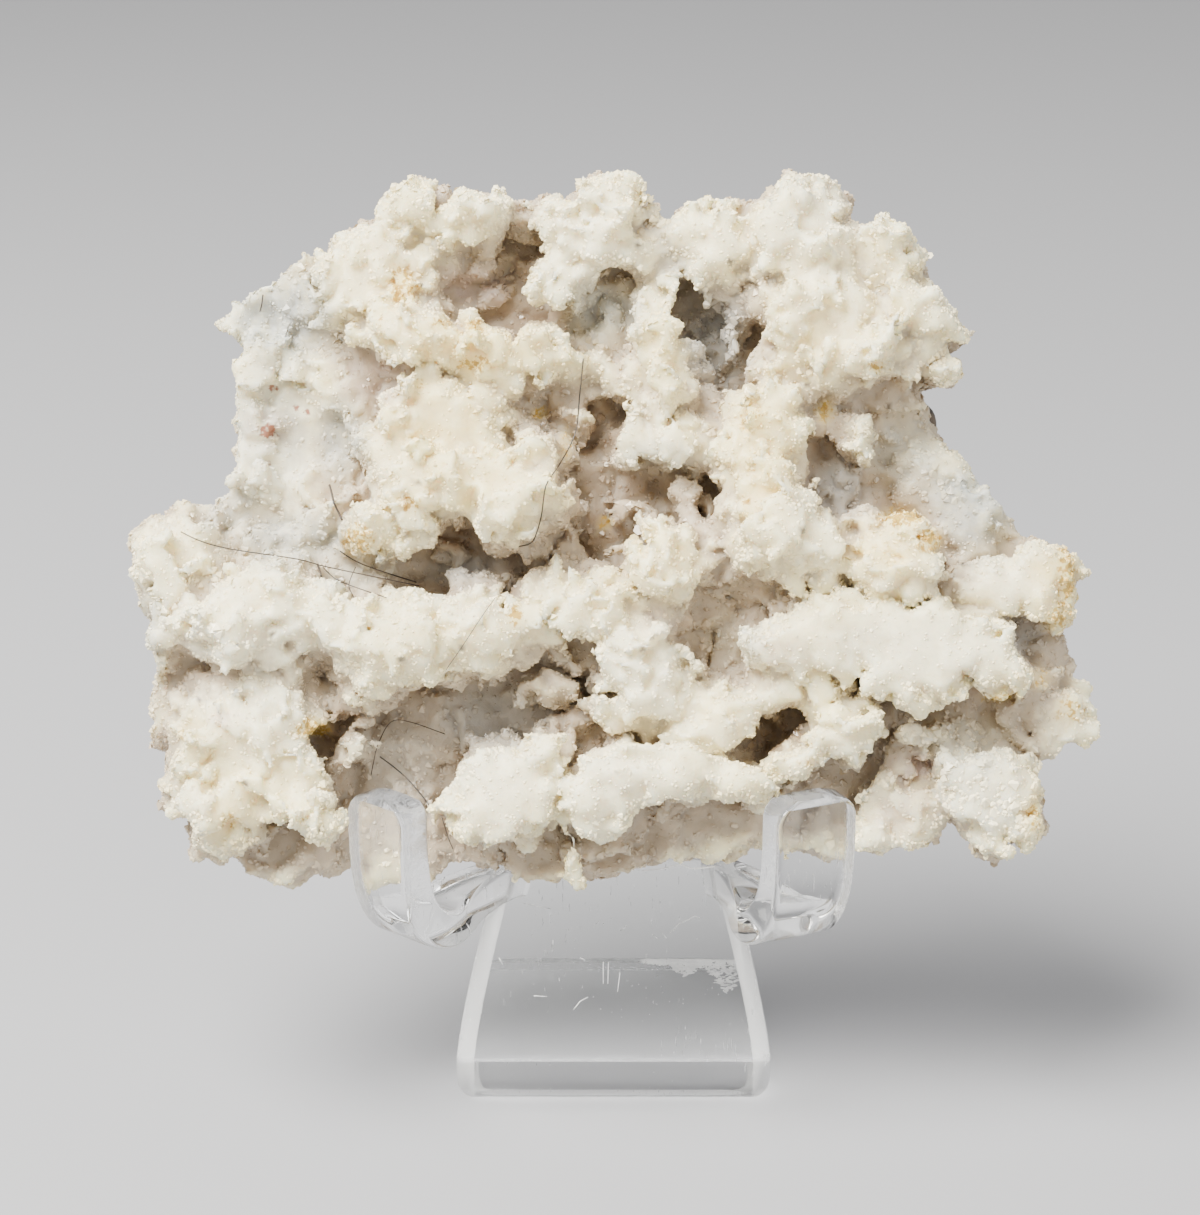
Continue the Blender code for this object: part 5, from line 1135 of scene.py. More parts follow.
# %% Crystals by Geometry Nodes
BAND_EDGES = (-38.0, -18.0, 0.0, 18.0, 38.0)     # mm along u
STEEP_PER_MM2 = 5.0
FLAT_PER_MM2 = 2.2
STEEP_SIZES = (0.16, 0.34)          # mm, radius of the smallest and the largest
FLAT_SIZES = (0.12, 0.24)
CRYSTAL_TILT = 0.45                 # radians either way
CRYSTAL_SIDES = 6
CRYSTAL_HEIGHT = 0.95               # in radii of its foot
CRYSTAL_SUNK = 0.4
SMALL_ONES = 1.6                    # above 1, small crystals are more common than large ones
SPIN = 3.1                          # share of the tilt that turns a crystal about its own axis
STEEP_BELOW = 0.74                  # a face whose normal stands out less than this is steep
BARE_BACK = 0.35                    # mm in front of the back where the coat begins


def crystal_tree():
    """The tree that coats a surface with crystals."""
    tree = bpy.data.node_groups.new("druse", "GeometryNodeTree")
    inputs = (
        ("Geometry", "NodeSocketGeometry"), ("Density", "NodeSocketFloat"),
        ("Smallest", "NodeSocketFloat"), ("Largest", "NodeSocketFloat"),
        ("Tilt", "NodeSocketFloat"), ("Seed", "NodeSocketInt"),
        ("Material", "NodeSocketMaterial"))
    for name, kind in inputs:
        tree.interface.new_socket(name, in_out="INPUT", socket_type=kind)
    tree.interface.new_socket("Geometry", in_out="OUTPUT", socket_type="NodeSocketGeometry")
    n = Nodes(tree)
    given = n.new("NodeGroupInput")
    result = n.new("NodeGroupOutput")

    def random(kind, low, high, offset):
        node = n.new("FunctionNodeRandomValue", data_type=kind)
        first_input, output = {"FLOAT": (2, 1), "FLOAT_VECTOR": (0, 0)}[kind]
        n.feed(node.inputs[first_input], low)
        n.feed(node.inputs[first_input + 1], high)
        n.feed(node.inputs["Seed"], n.math("ADD", given.outputs["Seed"], float(offset)))
        return node.outputs[output]

    scatter = n.new("GeometryNodeDistributePointsOnFaces", distribute_method="RANDOM")
    n.feed(scatter.inputs["Mesh"], given.outputs["Geometry"])
    n.feed(scatter.inputs["Density"], given.outputs["Density"])
    n.feed(scatter.inputs["Seed"], given.outputs["Seed"])
    tone = n.new("GeometryNodeStoreNamedAttribute", data_type="FLOAT", domain="POINT")
    n.feed(tone.inputs["Geometry"], scatter.outputs["Points"])
    tone.inputs["Name"].default_value = "tone"
    n.feed(tone.inputs["Value"], random("FLOAT", 0.0, 1.0, 1))
    point = n.new("GeometryNodeMeshCone", fill_type="NGON")
    point.inputs["Vertices"].default_value = CRYSTAL_SIDES
    point.inputs["Side Segments"].default_value = 1
    point.inputs["Radius Top"].default_value = 0.0
    point.inputs["Radius Bottom"].default_value = 1.0
    point.inputs["Depth"].default_value = CRYSTAL_HEIGHT
    sink = n.new("GeometryNodeTransform")
    n.feed(sink.inputs["Geometry"], point.outputs["Mesh"])
    sink.inputs["Translation"].default_value = (0.0, 0.0, -CRYSTAL_SUNK)
    place = n.new("GeometryNodeInstanceOnPoints")
    n.feed(place.inputs["Points"], tone.outputs["Geometry"])
    n.feed(place.inputs["Instance"], sink.outputs["Geometry"])
    n.feed(place.inputs["Rotation"], scatter.outputs["Rotation"])
    size = random("FLOAT", 0.0, 1.0, 2)
    size = n.math("POWER", size, SMALL_ONES)
    span = n.math("SUBTRACT", given.outputs["Largest"], given.outputs["Smallest"])
    size = n.math("ADD", n.math("MULTIPLY", size, span), given.outputs["Smallest"])
    n.feed(place.inputs["Scale"], size)
    turn = n.new("GeometryNodeRotateInstances")
    n.feed(turn.inputs["Instances"], place.outputs["Instances"])
    lean = n.new("ShaderNodeVectorMath", operation="SCALE")
    n.feed(lean.inputs[0], random("FLOAT_VECTOR", (-1.0, -1.0, -SPIN), (1.0, 1.0, SPIN), 3))
    n.feed(lean.inputs["Scale"], given.outputs["Tilt"])
    n.feed(turn.inputs["Rotation"], lean.outputs[0])
    real = n.new("GeometryNodeRealizeInstances")
    n.feed(real.inputs["Geometry"], turn.outputs["Instances"])
    paint = n.new("GeometryNodeSetMaterial")
    n.feed(paint.inputs["Geometry"], real.outputs["Geometry"])
    n.feed(paint.inputs["Material"], given.outputs["Material"])
    n.feed(result.inputs["Geometry"], paint.outputs["Geometry"])
    return tree


def set_inputs(modifier, values):
    """Sets a modifier's inputs by the names of the tree's sockets."""
    for item in modifier.node_group.interface.items_tree:
        if item.item_type == "SOCKET" and item.in_out == "INPUT" and item.name in values:
            modifier[item.identifier] = values[item.name]


def grow_crystals(name, chosen, density, sizes, seed, stuff):
    """Crystals on the chosen faces of the stone, as one plain mesh."""
    faces = stone_faces[chosen]
    used, renumbered = np.unique(faces, return_inverse=True)
    mesh = bpy.data.meshes.new("ground")
    corners = world_points(stone_uwn[used]).tolist()
    mesh.from_pydata(corners, [], renumbered.reshape(faces.shape).tolist())
    ground = add_object("ground", mesh)
    modifier = ground.modifiers.new("druse", "NODES")
    modifier.node_group = druse_tree
    set_inputs(modifier, {
        "Density": density / MM ** 2, "Smallest": sizes[0] * MM, "Largest": sizes[1] * MM,
        "Tilt": CRYSTAL_TILT, "Seed": seed, "Material": stuff})
    druse_mesh = evaluated_mesh(ground)
    bpy.data.objects.remove(ground, do_unlink=True)
    add_values(druse_mesh, stone_points(corner_places(druse_mesh)))
    druse_mesh.shade_flat()
    print(name, triangles(druse_mesh), "triangles")
    return add_object(name, druse_mesh)


druse_tree = crystal_tree()
quads = stone_uwn[stone_faces]
centres = quads.mean(axis=1)
coated = centres[:, 2] > BACK_LEVEL + BARE_BACK
facing = np.cross(quads[:, 2] - quads[:, 0], quads[:, 3] - quads[:, 1])
facing /= np.linalg.norm(facing, axis=1)[:, None]
steep = facing[:, 2] < STEEP_BELOW
druses = []
for band in range(len(BAND_EDGES) - 1):
    across = (centres[:, 0] >= BAND_EDGES[band]) & (centres[:, 0] < BAND_EDGES[band + 1])
    druses.append(grow_crystals(
        f"druse_{band + 1}", coated & across & steep, STEEP_PER_MM2, STEEP_SIZES, 100 + 10 * band,
        crystal_stuff))
druses.append(grow_crystals("fine_druse", coated & ~steep, FLAT_PER_MM2, FLAT_SIZES, 200, crystal_stuff))

# %% [markdown]
# On the floors of the recesses the crystals had room and grew larger, and in a few places they
# are clear, glossy points that sparkle. These use the same tree with other sizes and a shinier
# finish, on faces chosen by how deep they lie and by listed spots.

# %% Larger crystals
SPARKLE_SPOTS = (
    (-7.7, 19.0, 1.4, 1.2, 1.0), (-2.0, 14.2, 1.4, 1.4, 1.0), (7.0, 15.6, 2.4, 2.2, 1.0),
    (25.6, -17.0, 2.6, 4.0, 1.0), (28.6, -20.6, 2.6, 2.6, 0.7), (24.6, 3.4, 2.6, 2.0, 0.5),
    (9.4, 12.2, 1.4, 2.0, 1.0), (-30.0, -7.0, 2.4, 2.4, 0.45), (15.4, -17.6, 1.2, 1.2, 0.6),
)
SPARKLE_FROM = 0.3
FLOOR_DEPTH = 2.6               # mm below the rims where the larger crystals begin
HIDDEN_BELOW = -3.0             # level under which no one sees them
RIM_BAND = (-0.6, 0.9)          # mm past and in from an edge, where rims are coated
RIM_DEPTH = 3.0

deep_stuff = chalcedony_material("recess_crystals", (0.08, 0.3), 0.0, "tone", 0.0)
face_depth = sample(rim_map, centres[:, 0], centres[:, 1]) - centres[:, 2]
edge_distance = sample(edge_map, centres[:, 0], centres[:, 1])
seen = coated & (centres[:, 2] > HIDDEN_BELOW)
floor_faces = seen & (face_depth > FLOOR_DEPTH)
rim_faces = coated & (edge_distance > RIM_BAND[0]) & (edge_distance < RIM_BAND[1])
rim_faces &= face_depth < RIM_DEPTH
sparkling = seen & (spot_value(centres, SPARKLE_SPOTS) > SPARKLE_FROM)
# Name, faces, crystals per square mm, smallest and largest radius in mm, seed, finish
for row in (
        ("recess_points", floor_faces, 0.5, (0.28, 0.5), 301, deep_stuff),
        ("rim_points", rim_faces, 2.6, (0.2, 0.4), 303, crystal_stuff),
        ("clear_points", sparkling, 1.6, (0.25, 0.6), 302, deep_stuff)):
    druses.append(grow_crystals(*row))

# %% [markdown]
# The dark rind on the stone's back is volcanic rock, only a millimetre thick here. It is made by
# the same net, from a field that is just a rough-faced plate inside its outline. From the front
# it shows as a thin black edge at two places, and from behind it is most of what is seen.

# %% Rind of dark rock
RIND_GRID = 0.5
RIND_STEP = 0.22
RIND_LEVELS = (-6.72, -5.42)        # its back and its front
RIND_REACH = (36.0, 26.0)
RIND_EDGE = ((0.9, 0.22, 71),)
RIND_PITS = ((0.8, 0.12, 72), (2.6, 0.12, 73))
PIT_DEPTH = 1.6
BLACK_ROCK = (0.012, 0.012, 0.013)
GREY_ROCK = (0.055, 0.052, 0.05)
BROWN_CRUST = (0.16, 0.12, 0.085)
PALE_CRUST = (0.5, 0.47, 0.42)


def rind_field(axes):
    """A rough-backed plate inside the rind's outline."""
    grid_u, grid_w = np.meshgrid(axes[0], axes[1], indexing="ij")
    outline = sample(outline_distance(RIND_OUTLINE), grid_u, grid_w)
    outline = outline + layered_noise(axes[:2], RIND_EDGE)
    pits = layered_noise(axes[:2], RIND_PITS)
    field = np.empty([len(axis) for axis in axes])
    for level, n in enumerate(axes[2]):
        back = n - RIND_LEVELS[0] - np.abs(pits) * PIT_DEPTH
        field[:, :, level] = np.minimum(np.minimum(outline, RIND_LEVELS[1] - n), back)
    return field


def basalt_material():
    """Black rock in two tones, with a brown crust and a few pale crusts on it."""
    stuff, n, shader, place = new_finish("basalt")
    grains = n.noise(place, 0.5, 4.0, 0.7)
    crust = n.noise(place, 5.0, 4.0, 0.65)
    color = n.mix(n.spread(grains, 0.35, 0.7), BLACK_ROCK, GREY_ROCK)
    color = n.mix(n.spread(crust, 0.55, 0.68, 0.0, 0.75), color, BROWN_CRUST)
    color = n.mix(n.spread(crust, 0.70, 0.76, 0.0, 0.8), color, PALE_CRUST)
    n.feed(shader.inputs["Base Color"], color)
    n.feed(shader.inputs["Roughness"], n.spread(grains, 0.3, 0.7, 0.45, 0.85))
    n.bump(shader, grains, 0.2)
    return stuff


def make_rind():
    """The rind's field, drawn as a net and given its finish."""
    axes = [np.arange(-reach, reach + 0.01, RIND_GRID) for reach in RIND_REACH]
    axes.append(np.arange(RIND_LEVELS[0] - 0.5, RIND_LEVELS[1] + 0.5, RIND_STEP))
    corners, faces = surface_net(rind_field(axes), axes)
    mesh = bpy.data.meshes.new("rind")
    mesh.from_pydata(world_points(corners).tolist(), [], faces.tolist())
    mesh.shade_smooth()
    mesh.materials.append(basalt_material())
    return add_object("rind", mesh)


rind = make_rind()
print("rind:", triangles(rind.data), "triangles")

# %% [markdown]
# The easel is one sheet of acrylic, cut and bent warm. Each of its three strips follows a centre
# line, so each is a cross section carried along it: the spine (base plate, front fold, leaning
# panel and back rest) and the two arms that turn up into lips. The strips are joined by a
# Boolean union. The long edges were flame polished, which leaves them round, and it is those
# round edges that show as bright bands down the sides of the clear panel. A Bevel would make
# them too, but it shrinks to fit the closest rows, so the section itself is drawn round.

# %% Sizes of the easel
SHEET = 3.0                     # mm
BASE_DEPTH = 21.5
FOLD_RADIUS = 2.0
MIDDLE_RADIUS = FOLD_RADIUS + SHEET / 2     # from the fold's foot to the middle of its bend
FOOT_HALF = 12.25
REAR_HALF = 10.8
FOOT_CORNER = 2.0
STRAIGHT_Z = 4.0                # height where the panel begins to draw in
WAIST_POWER = 1.25
SHOULDER_HALF = 8.9
SHOULDER_Z = 18.6
SHOULDER_FILLET = 2.6
PRONG_HALF = 5.0
PRONG_TOP_Z = 38.0
PRONG_CORNER = 3.0
ARM_TOP_Z = 19.5
ARM_DIP = 1.1
LIP_TOP_Z = 28.4
LIP_FORWARD = 8.8
LIP_CORNER = 1.7
NECK_HALF = 1.2
NECK_LENGTH = 2.0
THINNEST_HALF = 0.3
SPINE_POLISH = 1.42             # radius of the flame-polished edges of the panel and base
ARM_POLISH = 0.5                # and of the arms, which were only broken with a scraper
END_POLISH = 0.5
ROUNDEST = 0.98                 # share of the half thickness that an edge's radius may take
SECTION_STEPS = 6
FOLD_STEPS = 16
PANEL_STEPS = 12
ARM_STEPS = 8
# How far from an end or from the shoulder the rows lie that draw its round corner
REAR_ROWS = (0.0, 0.15, 0.4, 0.8, 1.2, 1.6, 2.0, 5.0, 9.0, 13.0, BASE_DEPTH - MIDDLE_RADIUS)
SHOULDER_ROWS = (0.1, 0.25, 0.5, 0.8, 1.2, 1.7, 2.2, 2.8, 6.0, 10.0)
TOP_ROWS = (3.0, 2.4, 1.8, 1.3, 0.9, 0.5, 0.25, 0.08)
EASEL_SHIFT = Vector((0.065, -7.23, 0.0))
# Each arm: side, where it leaves the panel, heading and lip's yaw in degrees, half width of the lip
ARMS = ((-1.0, 8.0, 45.0, 40.0, 2.9), (1.0, 8.3, 35.0, 24.0, 3.3))


def rounded_end(half, radius, distance):
    """Half width near the end of a strip whose corners are round."""
    if distance >= radius:
        return half
    drop = radius - math.sqrt(max(radius ** 2 - (radius - distance) ** 2, 0.0))
    return max(half - drop, THINNEST_HALF)


def panel_half(z):
    """Half width of the leaning panel and, above its shoulder, of the back rest."""
    if z <= STRAIGHT_Z:
        return FOOT_HALF
    if z <= SHOULDER_Z:
        share = (z - STRAIGHT_Z) / (SHOULDER_Z - STRAIGHT_Z)
        return FOOT_HALF + (SHOULDER_HALF - FOOT_HALF) * share ** WAIST_POWER
    share = min((z - SHOULDER_Z) / SHOULDER_FILLET, 1.0)
    return PRONG_HALF + (SHOULDER_HALF - PRONG_HALF) * (1.0 - math.sqrt(1.0 - (1.0 - share) ** 2))


def base_half(distance):
    """Half width of the base at a distance from its rear edge."""
    return REAR_HALF + (FOOT_HALF - REAR_HALF) * distance / (BASE_DEPTH - MIDDLE_RADIUS)


def panel_front_y(z):
    """Where the panel's front stands at a height."""
    foot = MIDDLE_RADIUS * (1.0 - math.cos(LEAN))
    return foot + math.tan(LEAN) * (z - MIDDLE_RADIUS * (1.0 + math.sin(LEAN)))


def spine_rows():
    """Centre points and half widths from the cut rear edge, round the fold, to the back rest."""
    rows = []
    for distance in REAR_ROWS:
        centre = Vector((0.0, BASE_DEPTH - distance, SHEET / 2))
        rows.append((centre, rounded_end(base_half(distance), FOOT_CORNER, distance)))
    for step in range(1, FOLD_STEPS + 1):
        around = 1.5 * math.pi - (math.pi / 2 + LEAN) * step / FOLD_STEPS
        y = MIDDLE_RADIUS + FOLD_RADIUS * math.cos(around)
        z = MIDDLE_RADIUS + FOLD_RADIUS * math.sin(around)
        rows.append((Vector((0.0, y, z)), FOOT_HALF))
    start = rows[-1][0]
    up = Vector((0.0, math.sin(LEAN), math.cos(LEAN)))
    length = (PRONG_TOP_Z - start.z) / up.z
    shoulder = (SHOULDER_Z - start.z) / up.z
    stops = [shoulder * step / PANEL_STEPS for step in range(1, PANEL_STEPS + 1)]
    stops += [shoulder + rise for rise in SHOULDER_ROWS]
    stops += [length - rest for rest in TOP_ROWS]
    for stop in stops:
        centre = start + up * stop
        rows.append((centre, rounded_end(panel_half(centre.z), PRONG_CORNER, length - stop)))
    return rows


def smooth_path(points, steps):
    """A Catmull-Rom curve through the points."""
    path = []
    for index in range(len(points) - 1):
        before, start, end, after = (
            points[max(index - 1, 0)], points[index], points[index + 1],
            points[min(index + 2, len(points) - 1)])
        for step in range(steps):
            t = step / steps
            path.append(0.5 * (
                2 * start + (end - before) * t
                + (2 * before - 5 * start + 4 * end - after) * t ** 2
                + (3 * start - before - 3 * end + after) * t ** 3))
    return path + [points[-1]]


def arm_rows(arm):
    """Centre points and half widths of an arm, from inside the panel out and up to its lip."""
    side, root_x, heading, yaw, lip_half = arm
    heading = math.radians(heading)
    top = ARM_TOP_Z - SHEET / 2
    root = Vector((side * root_x, panel_front_y(top), 0.0))
    out = Vector((side * math.sin(heading), -math.cos(heading), 0.0))
    reach = LIP_FORWARD / math.cos(heading)
    rises = (
        (-1.9, top - 0.9), (-0.6, top - 0.2), (1.0, top), (reach * 0.4, top - 0.25 * ARM_DIP),
        (reach - 4.4, top - ARM_DIP), (reach - 1.9, top - 0.1), (reach - 0.5, top + 2.3),
        (reach, LIP_TOP_Z - 4.6), (reach, LIP_TOP_Z))
    centres = smooth_path([root + out * forward + Vector((0.0, 0.0, z)) for forward, z in rises], ARM_STEPS)
    lengths = [0.0]
    for before, after in zip(centres, centres[1:]):
        lengths.append(lengths[-1] + (after - before).length)
    rows = []
    for centre, at in zip(centres, lengths):
        flare = float(step_up(at, NECK_LENGTH, reach + 0.5))
        half = NECK_HALF + (lip_half - NECK_HALF) * flare
        rows.append((centre, rounded_end(half, LIP_CORNER, lengths[-1] - at)))
    return rows


def rounded_section(half_width, half_height, radius):
    """Corner points of a flat bar's cross section with round edges, once round it."""
    radius = min(radius, half_width * ROUNDEST, half_height * ROUNDEST)
    section = []
    for corner, (x, y) in enumerate(((1, 1), (-1, 1), (-1, -1), (1, -1))):
        for step in range(SECTION_STEPS + 1):
            angle = math.pi / 2 * (corner + step / SECTION_STEPS)
            section.append((
                x * (half_width - radius) + radius * math.cos(angle),
                y * (half_height - radius) + radius * math.sin(angle)))
    return section


def bent_strip(name, rows, across, polish, blunt_start):
    """A strip of sheet lofted through a rounded section at each row, and closed at both ends."""
    centres = [centre for centre, half in rows]
    ends = [0.0]
    for before, after in zip(centres, centres[1:]):
        ends.append(ends[-1] + (after - before).length)
    corners = []
    around = 4 * (SECTION_STEPS + 1)
    for index, (centre, half) in enumerate(rows):
        along = centres[min(index + 1, len(rows) - 1)] - centres[max(index - 1, 0)]
        through = along.cross(across).normalized()
        from_end = ends[-1] - ends[index]
        if not blunt_start:
            from_end = min(from_end, ends[index])
        inset = max(END_POLISH - from_end, 0.0)
        thin = SHEET / 2 - END_POLISH + math.sqrt(END_POLISH ** 2 - inset ** 2)
        for x, y in rounded_section(half, thin, polish):
            corners.append((centre + across * x + through * y + EASEL_SHIFT) * MM)
    faces = []
    for row in range(len(rows) - 1):
        for spot in range(around):
            following = (spot + 1) % around
            low = row * around
            high = low + around
            faces.append((low + spot, low + following, high + following, high + spot))
    faces.append(tuple(range(around - 1, -1, -1)))
    faces.append(tuple(range(len(corners) - around, len(corners))))
    mesh = bpy.data.meshes.new(name)
    mesh.from_pydata(corners, [], faces)
    return add_object(name, mesh)


def apply_modifiers(piece):
    """The piece's modifiers become part of its mesh, whose faces are turned outwards."""
    mesh = evaluated_mesh(piece)
    piece.modifiers.clear()
    piece.data = mesh
    work = bmesh.new()
    work.from_mesh(mesh)
    bmesh.ops.recalc_face_normals(work, faces=work.faces)
    if work.calc_volume(signed=True) < 0.0:
        bmesh.ops.reverse_faces(work, faces=work.faces)
    work.to_mesh(mesh)
    work.free()


print("spine rows:", len(spine_rows()), "arm rows:", [len(arm_rows(arm)) for arm in ARMS])

# %% [markdown]
# Acrylic is clear all through, so its finish is plain transmission with its own IOR of 1.49.
# What shows on the real easel is wear: fine scratches that run up the panel, dust, and a frosted
# look where the sheet was sawn, at the rear edge of the base and on the outer edges of the lips.
# Those are changes of roughness and of bump, never of colour. How near a point is to a sawn edge
# is a value on the mesh.

# %% Acrylic
ACRYLIC_IOR = 1.49
ACRYLIC_TINT = (0.985, 0.992, 0.992)
SCRATCH_STRETCH = (1.0, 0.16, 0.12)
SCRATCH_TURN = 0.12             # radians
SHADOW_CLEARNESS = 0.97         # share of the lamps' light that passes through
SCRAPED_WIDTH = 1.4             # mm in from the sides of the panel and base
SHARP_ANGLE = math.radians(40.0)


def acrylic_material(name, clearness, frost):
    """Clear acrylic with scratches, dust and frosted saw marks."""
    stuff, n, shader, place = new_finish(name)
    stretched = n.new("ShaderNodeMapping")
    n.feed(stretched.inputs["Vector"], place)
    stretched.inputs["Scale"].default_value = SCRATCH_STRETCH
    stretched.inputs["Rotation"].default_value = (0.0, SCRATCH_TURN, 0.0)
    scratches = n.noise(stretched.outputs["Vector"], 0.22, 2.0, 0.6)
    patches = n.noise(place, 7.0, 2.0)
    dust = n.noise(place, 0.3, 1.0)
    scratched = n.math("MULTIPLY", n.spread(scratches, 0.66, 0.72), n.spread(patches, 0.45, 0.6))
    speck = n.spread(dust, 0.78, 0.82)
    worn = n.math("MAXIMUM", n.math("MULTIPLY", scratched, 0.3), n.math("MULTIPLY", speck, 0.4))
    chips = n.spread(n.noise(place, 0.6, 3.0, 0.7), 0.35, 0.6, 0.35, 0.8)
    sawn = n.math("MULTIPLY", n.value("sawn"), chips)
    rough = n.math("ADD", n.math("MAXIMUM", worn, sawn), frost)
    n.feed(shader.inputs["Roughness"], rough)
    shader.inputs["Base Color"].default_value = (*ACRYLIC_TINT, 1.0)
    shader.inputs["Transmission Weight"].default_value = clearness
    shader.inputs["IOR"].default_value = ACRYLIC_IOR
    saw_marks = n.math("MULTIPLY", sawn, n.noise(place, 0.4, 3.0))
    n.bump(shader, n.math("ADD", n.math("MULTIPLY", scratched, -0.4), saw_marks), 0.12)
    shadow = n.new("ShaderNodeLightPath").outputs["Is Shadow Ray"]
    n.feed(shader.inputs["Alpha"], n.math("SUBTRACT", 1.0, n.math("MULTIPLY", shadow, SHADOW_CLEARNESS)))
    return stuff


def sawn_value(points):
    """1 at the sawn rear edge of the base and at the lips' outer edges, and 0 away from them."""
    place = points / MM - np.array(EASEL_SHIFT)
    rear = step_up(place[:, 1], BASE_DEPTH - 0.75, BASE_DEPTH - 0.25) * (place[:, 2] < SHEET + 0.5)
    value = rear
    for arm in ARMS:
        side, root_x, heading, yaw, lip_half = arm
        centre, half = arm_rows(arm)[-1]
        across = np.array((side * math.cos(math.radians(yaw)), math.sin(math.radians(yaw))))
        along = (place[:, :2] - np.array(centre)[:2]) @ across
        outer = step_up(along, lip_half - 0.45, lip_half - 0.1) * (place[:, 2] > 14.0)
        value = np.maximum(value, 0.8 * outer * (side * place[:, 0] > 6.0))
    return value


def scraped_faces(mesh):
    """The faces of the panel's two long edges, which were scraped and only half polished."""
    scraped = []
    for face in mesh.polygons:
        place = face.center / MM - EASEL_SHIFT
        half = panel_half(place.z)
        if place.y > MIDDLE_RADIUS and place.z < SHEET + 0.1:
            half = base_half(BASE_DEPTH - place.y)
        if half - SCRAPED_WIDTH < abs(place.x) < half + 0.05 and place.z < SHOULDER_Z + 1.0:
            scraped.append(face)
    return scraped


def make_easel():
    """The spine and both arms joined into one, with its two finishes."""
    spine = bent_strip("easel", spine_rows(), Vector((1.0, 0.0, 0.0)), SPINE_POLISH, True)
    apply_modifiers(spine)
    for arm in ARMS:
        yaw = math.radians(arm[3])
        across = Vector((arm[0] * math.cos(yaw), math.sin(yaw), 0.0))
        strip = bent_strip("arm", arm_rows(arm), across, ARM_POLISH, False)
        apply_modifiers(strip)
        union = spine.modifiers.new("union", "BOOLEAN")
        union.operation = "UNION"
        union.solver = "EXACT"
        union.object = strip
        apply_modifiers(spine)
        bpy.data.objects.remove(strip, do_unlink=True)
    keep_value(spine.data, "sawn", sawn_value(corner_places(spine.data)))
    spine.data.materials.clear()
    spine.data.materials.append(acrylic_material("acrylic", 1.0, 0.015))
    spine.data.materials.append(acrylic_material("scraped_acrylic", 0.75, 0.25))
    for face in scraped_faces(spine.data):
        face.material_index = 1
    spine.data.shade_smooth()
    spine.data.set_sharp_from_angle(angle=SHARP_ANGLE)
    return spine


easel = make_easel()
print("easel:", triangles(easel.data), "triangles")

# %% [markdown]
# The saw left white bruises on the rear edge of the base, deepest near its right corner, and the
# panel has a few short bright scratches. A mark in clear plastic is a tiny rough crack, so each
# bruise is made as a little flake and each scratch as a hair-thin line, white and dull.

# %% Bruises and scratches of the acrylic
BRUISES = 700
BRUISE_SIZES = (0.07, 0.2)      # mm
BRUISE_MARGIN = 0.4
BRUISE_THICKNESS = 0.06
NEAR_EDGE = 1.7                 # above 1, bruises crowd towards the rear edge
# How far in from the rear edge the bruises reach, in mm, at places along x
BRUISE_DEPTHS = ((2.2, 0.5), (3.4, 0.8), (4.4, 1.0), (5.0, 3.2), (5.6, 2.8), (6.4, 1.2), (7.2, 2.4),
                 (7.8, 4.4), (8.4, 6.0), (9.0, 5.4), (9.6, 3.0), (10.2, 3.6), (10.6, 1.6))
# Scratches on the panel's front: points in x and z, mm, in the easel's own place
SCRATCHES = (
    ((-1.4, 14.5), (-1.1, 14.7)), ((0.5, 14.0), (0.8, 14.1), (1.0, 14.4)), ((3.0, 13.7), (3.4, 13.4)),
    ((3.8, 13.8), (4.1, 13.4)), ((4.4, 13.8), (5.1, 14.5), (5.8, 14.8), (6.3, 15.05), (6.7, 14.9)),
    ((-0.8, 11.7), (-0.8, 10.1)), ((-0.4, 11.7), (-0.45, 10.1)), ((0.5, 10.9), (0.3, 9.5)),
    ((-3.1, 8.2), (-2.6, 8.8), (-2.0, 9.1)), ((-6.2, 9.2), (-5.2, 9.15)), ((-7.0, 16.0), (-4.9, 15.6)),
    ((-4.7, 13.3), (-4.7, 12.9)), ((-2.6, 12.0), (-2.2, 11.8)), ((-8.9, 12.0), (-8.6, 11.5)),
)
SCRATCH_RADIUS = 0.035
SCRATCH_LIFT = 0.06
# A pale fibre under the stone: points in u, w and n
FIBRE = ((2.2, -25.75, -3.2), (3.6, -25.6, -3.0), (5.0, -25.25, -2.6), (6.0, -25.55, -2.8),
         (7.7, -25.4, -3.0))
FIBRE_RADIUS = 0.04
CURVE_STEPS = 5
SEAM = 1e-7                     # metres between corners that a tube's caps share
DULL_WHITE = ((0.80, 0.80, 0.81), (0.95, 0.95, 0.95))


def thin_tube(rows, radius):
    """The mesh of a thin tube through the given world points."""
    data = bpy.data.curves.new("line", "CURVE")
    data.dimensions = "3D"
    data.bevel_depth = radius * MM
    data.bevel_resolution = 1
    data.use_fill_caps = True
    line = data.splines.new("POLY")
    line.points.add(len(rows) - 1)
    for spot, place in zip(line.points, rows):
        spot.co = (*place, 1.0)
    curve = add_object("line", data)
    mesh = evaluated_mesh(curve)
    bpy.data.objects.remove(curve, do_unlink=True)
    return mesh


def two_tone(name, tones, tone_mm, roughness, roughness_mm):
    """A finish that wavers between two tones and between two roughnesses."""
    stuff, n, shader, place = new_finish(name)
    n.feed(shader.inputs["Base Color"], n.mix(n.spread(n.noise(place, tone_mm), 0.35, 0.65), *tones))
    n.feed(shader.inputs["Roughness"], n.spread(n.noise(place, roughness_mm), 0.3, 0.7, *roughness))
    return stuff


def closed_piece(name, work, stuff):
    """A new piece from what a bmesh holds, with its seams closed and one finish."""
    bmesh.ops.remove_doubles(work, verts=work.verts, dist=SEAM)
    mesh = bpy.data.meshes.new(name)
    work.to_mesh(mesh)
    work.free()
    mesh.materials.clear()
    mesh.materials.append(stuff)
    return add_object(name, mesh)


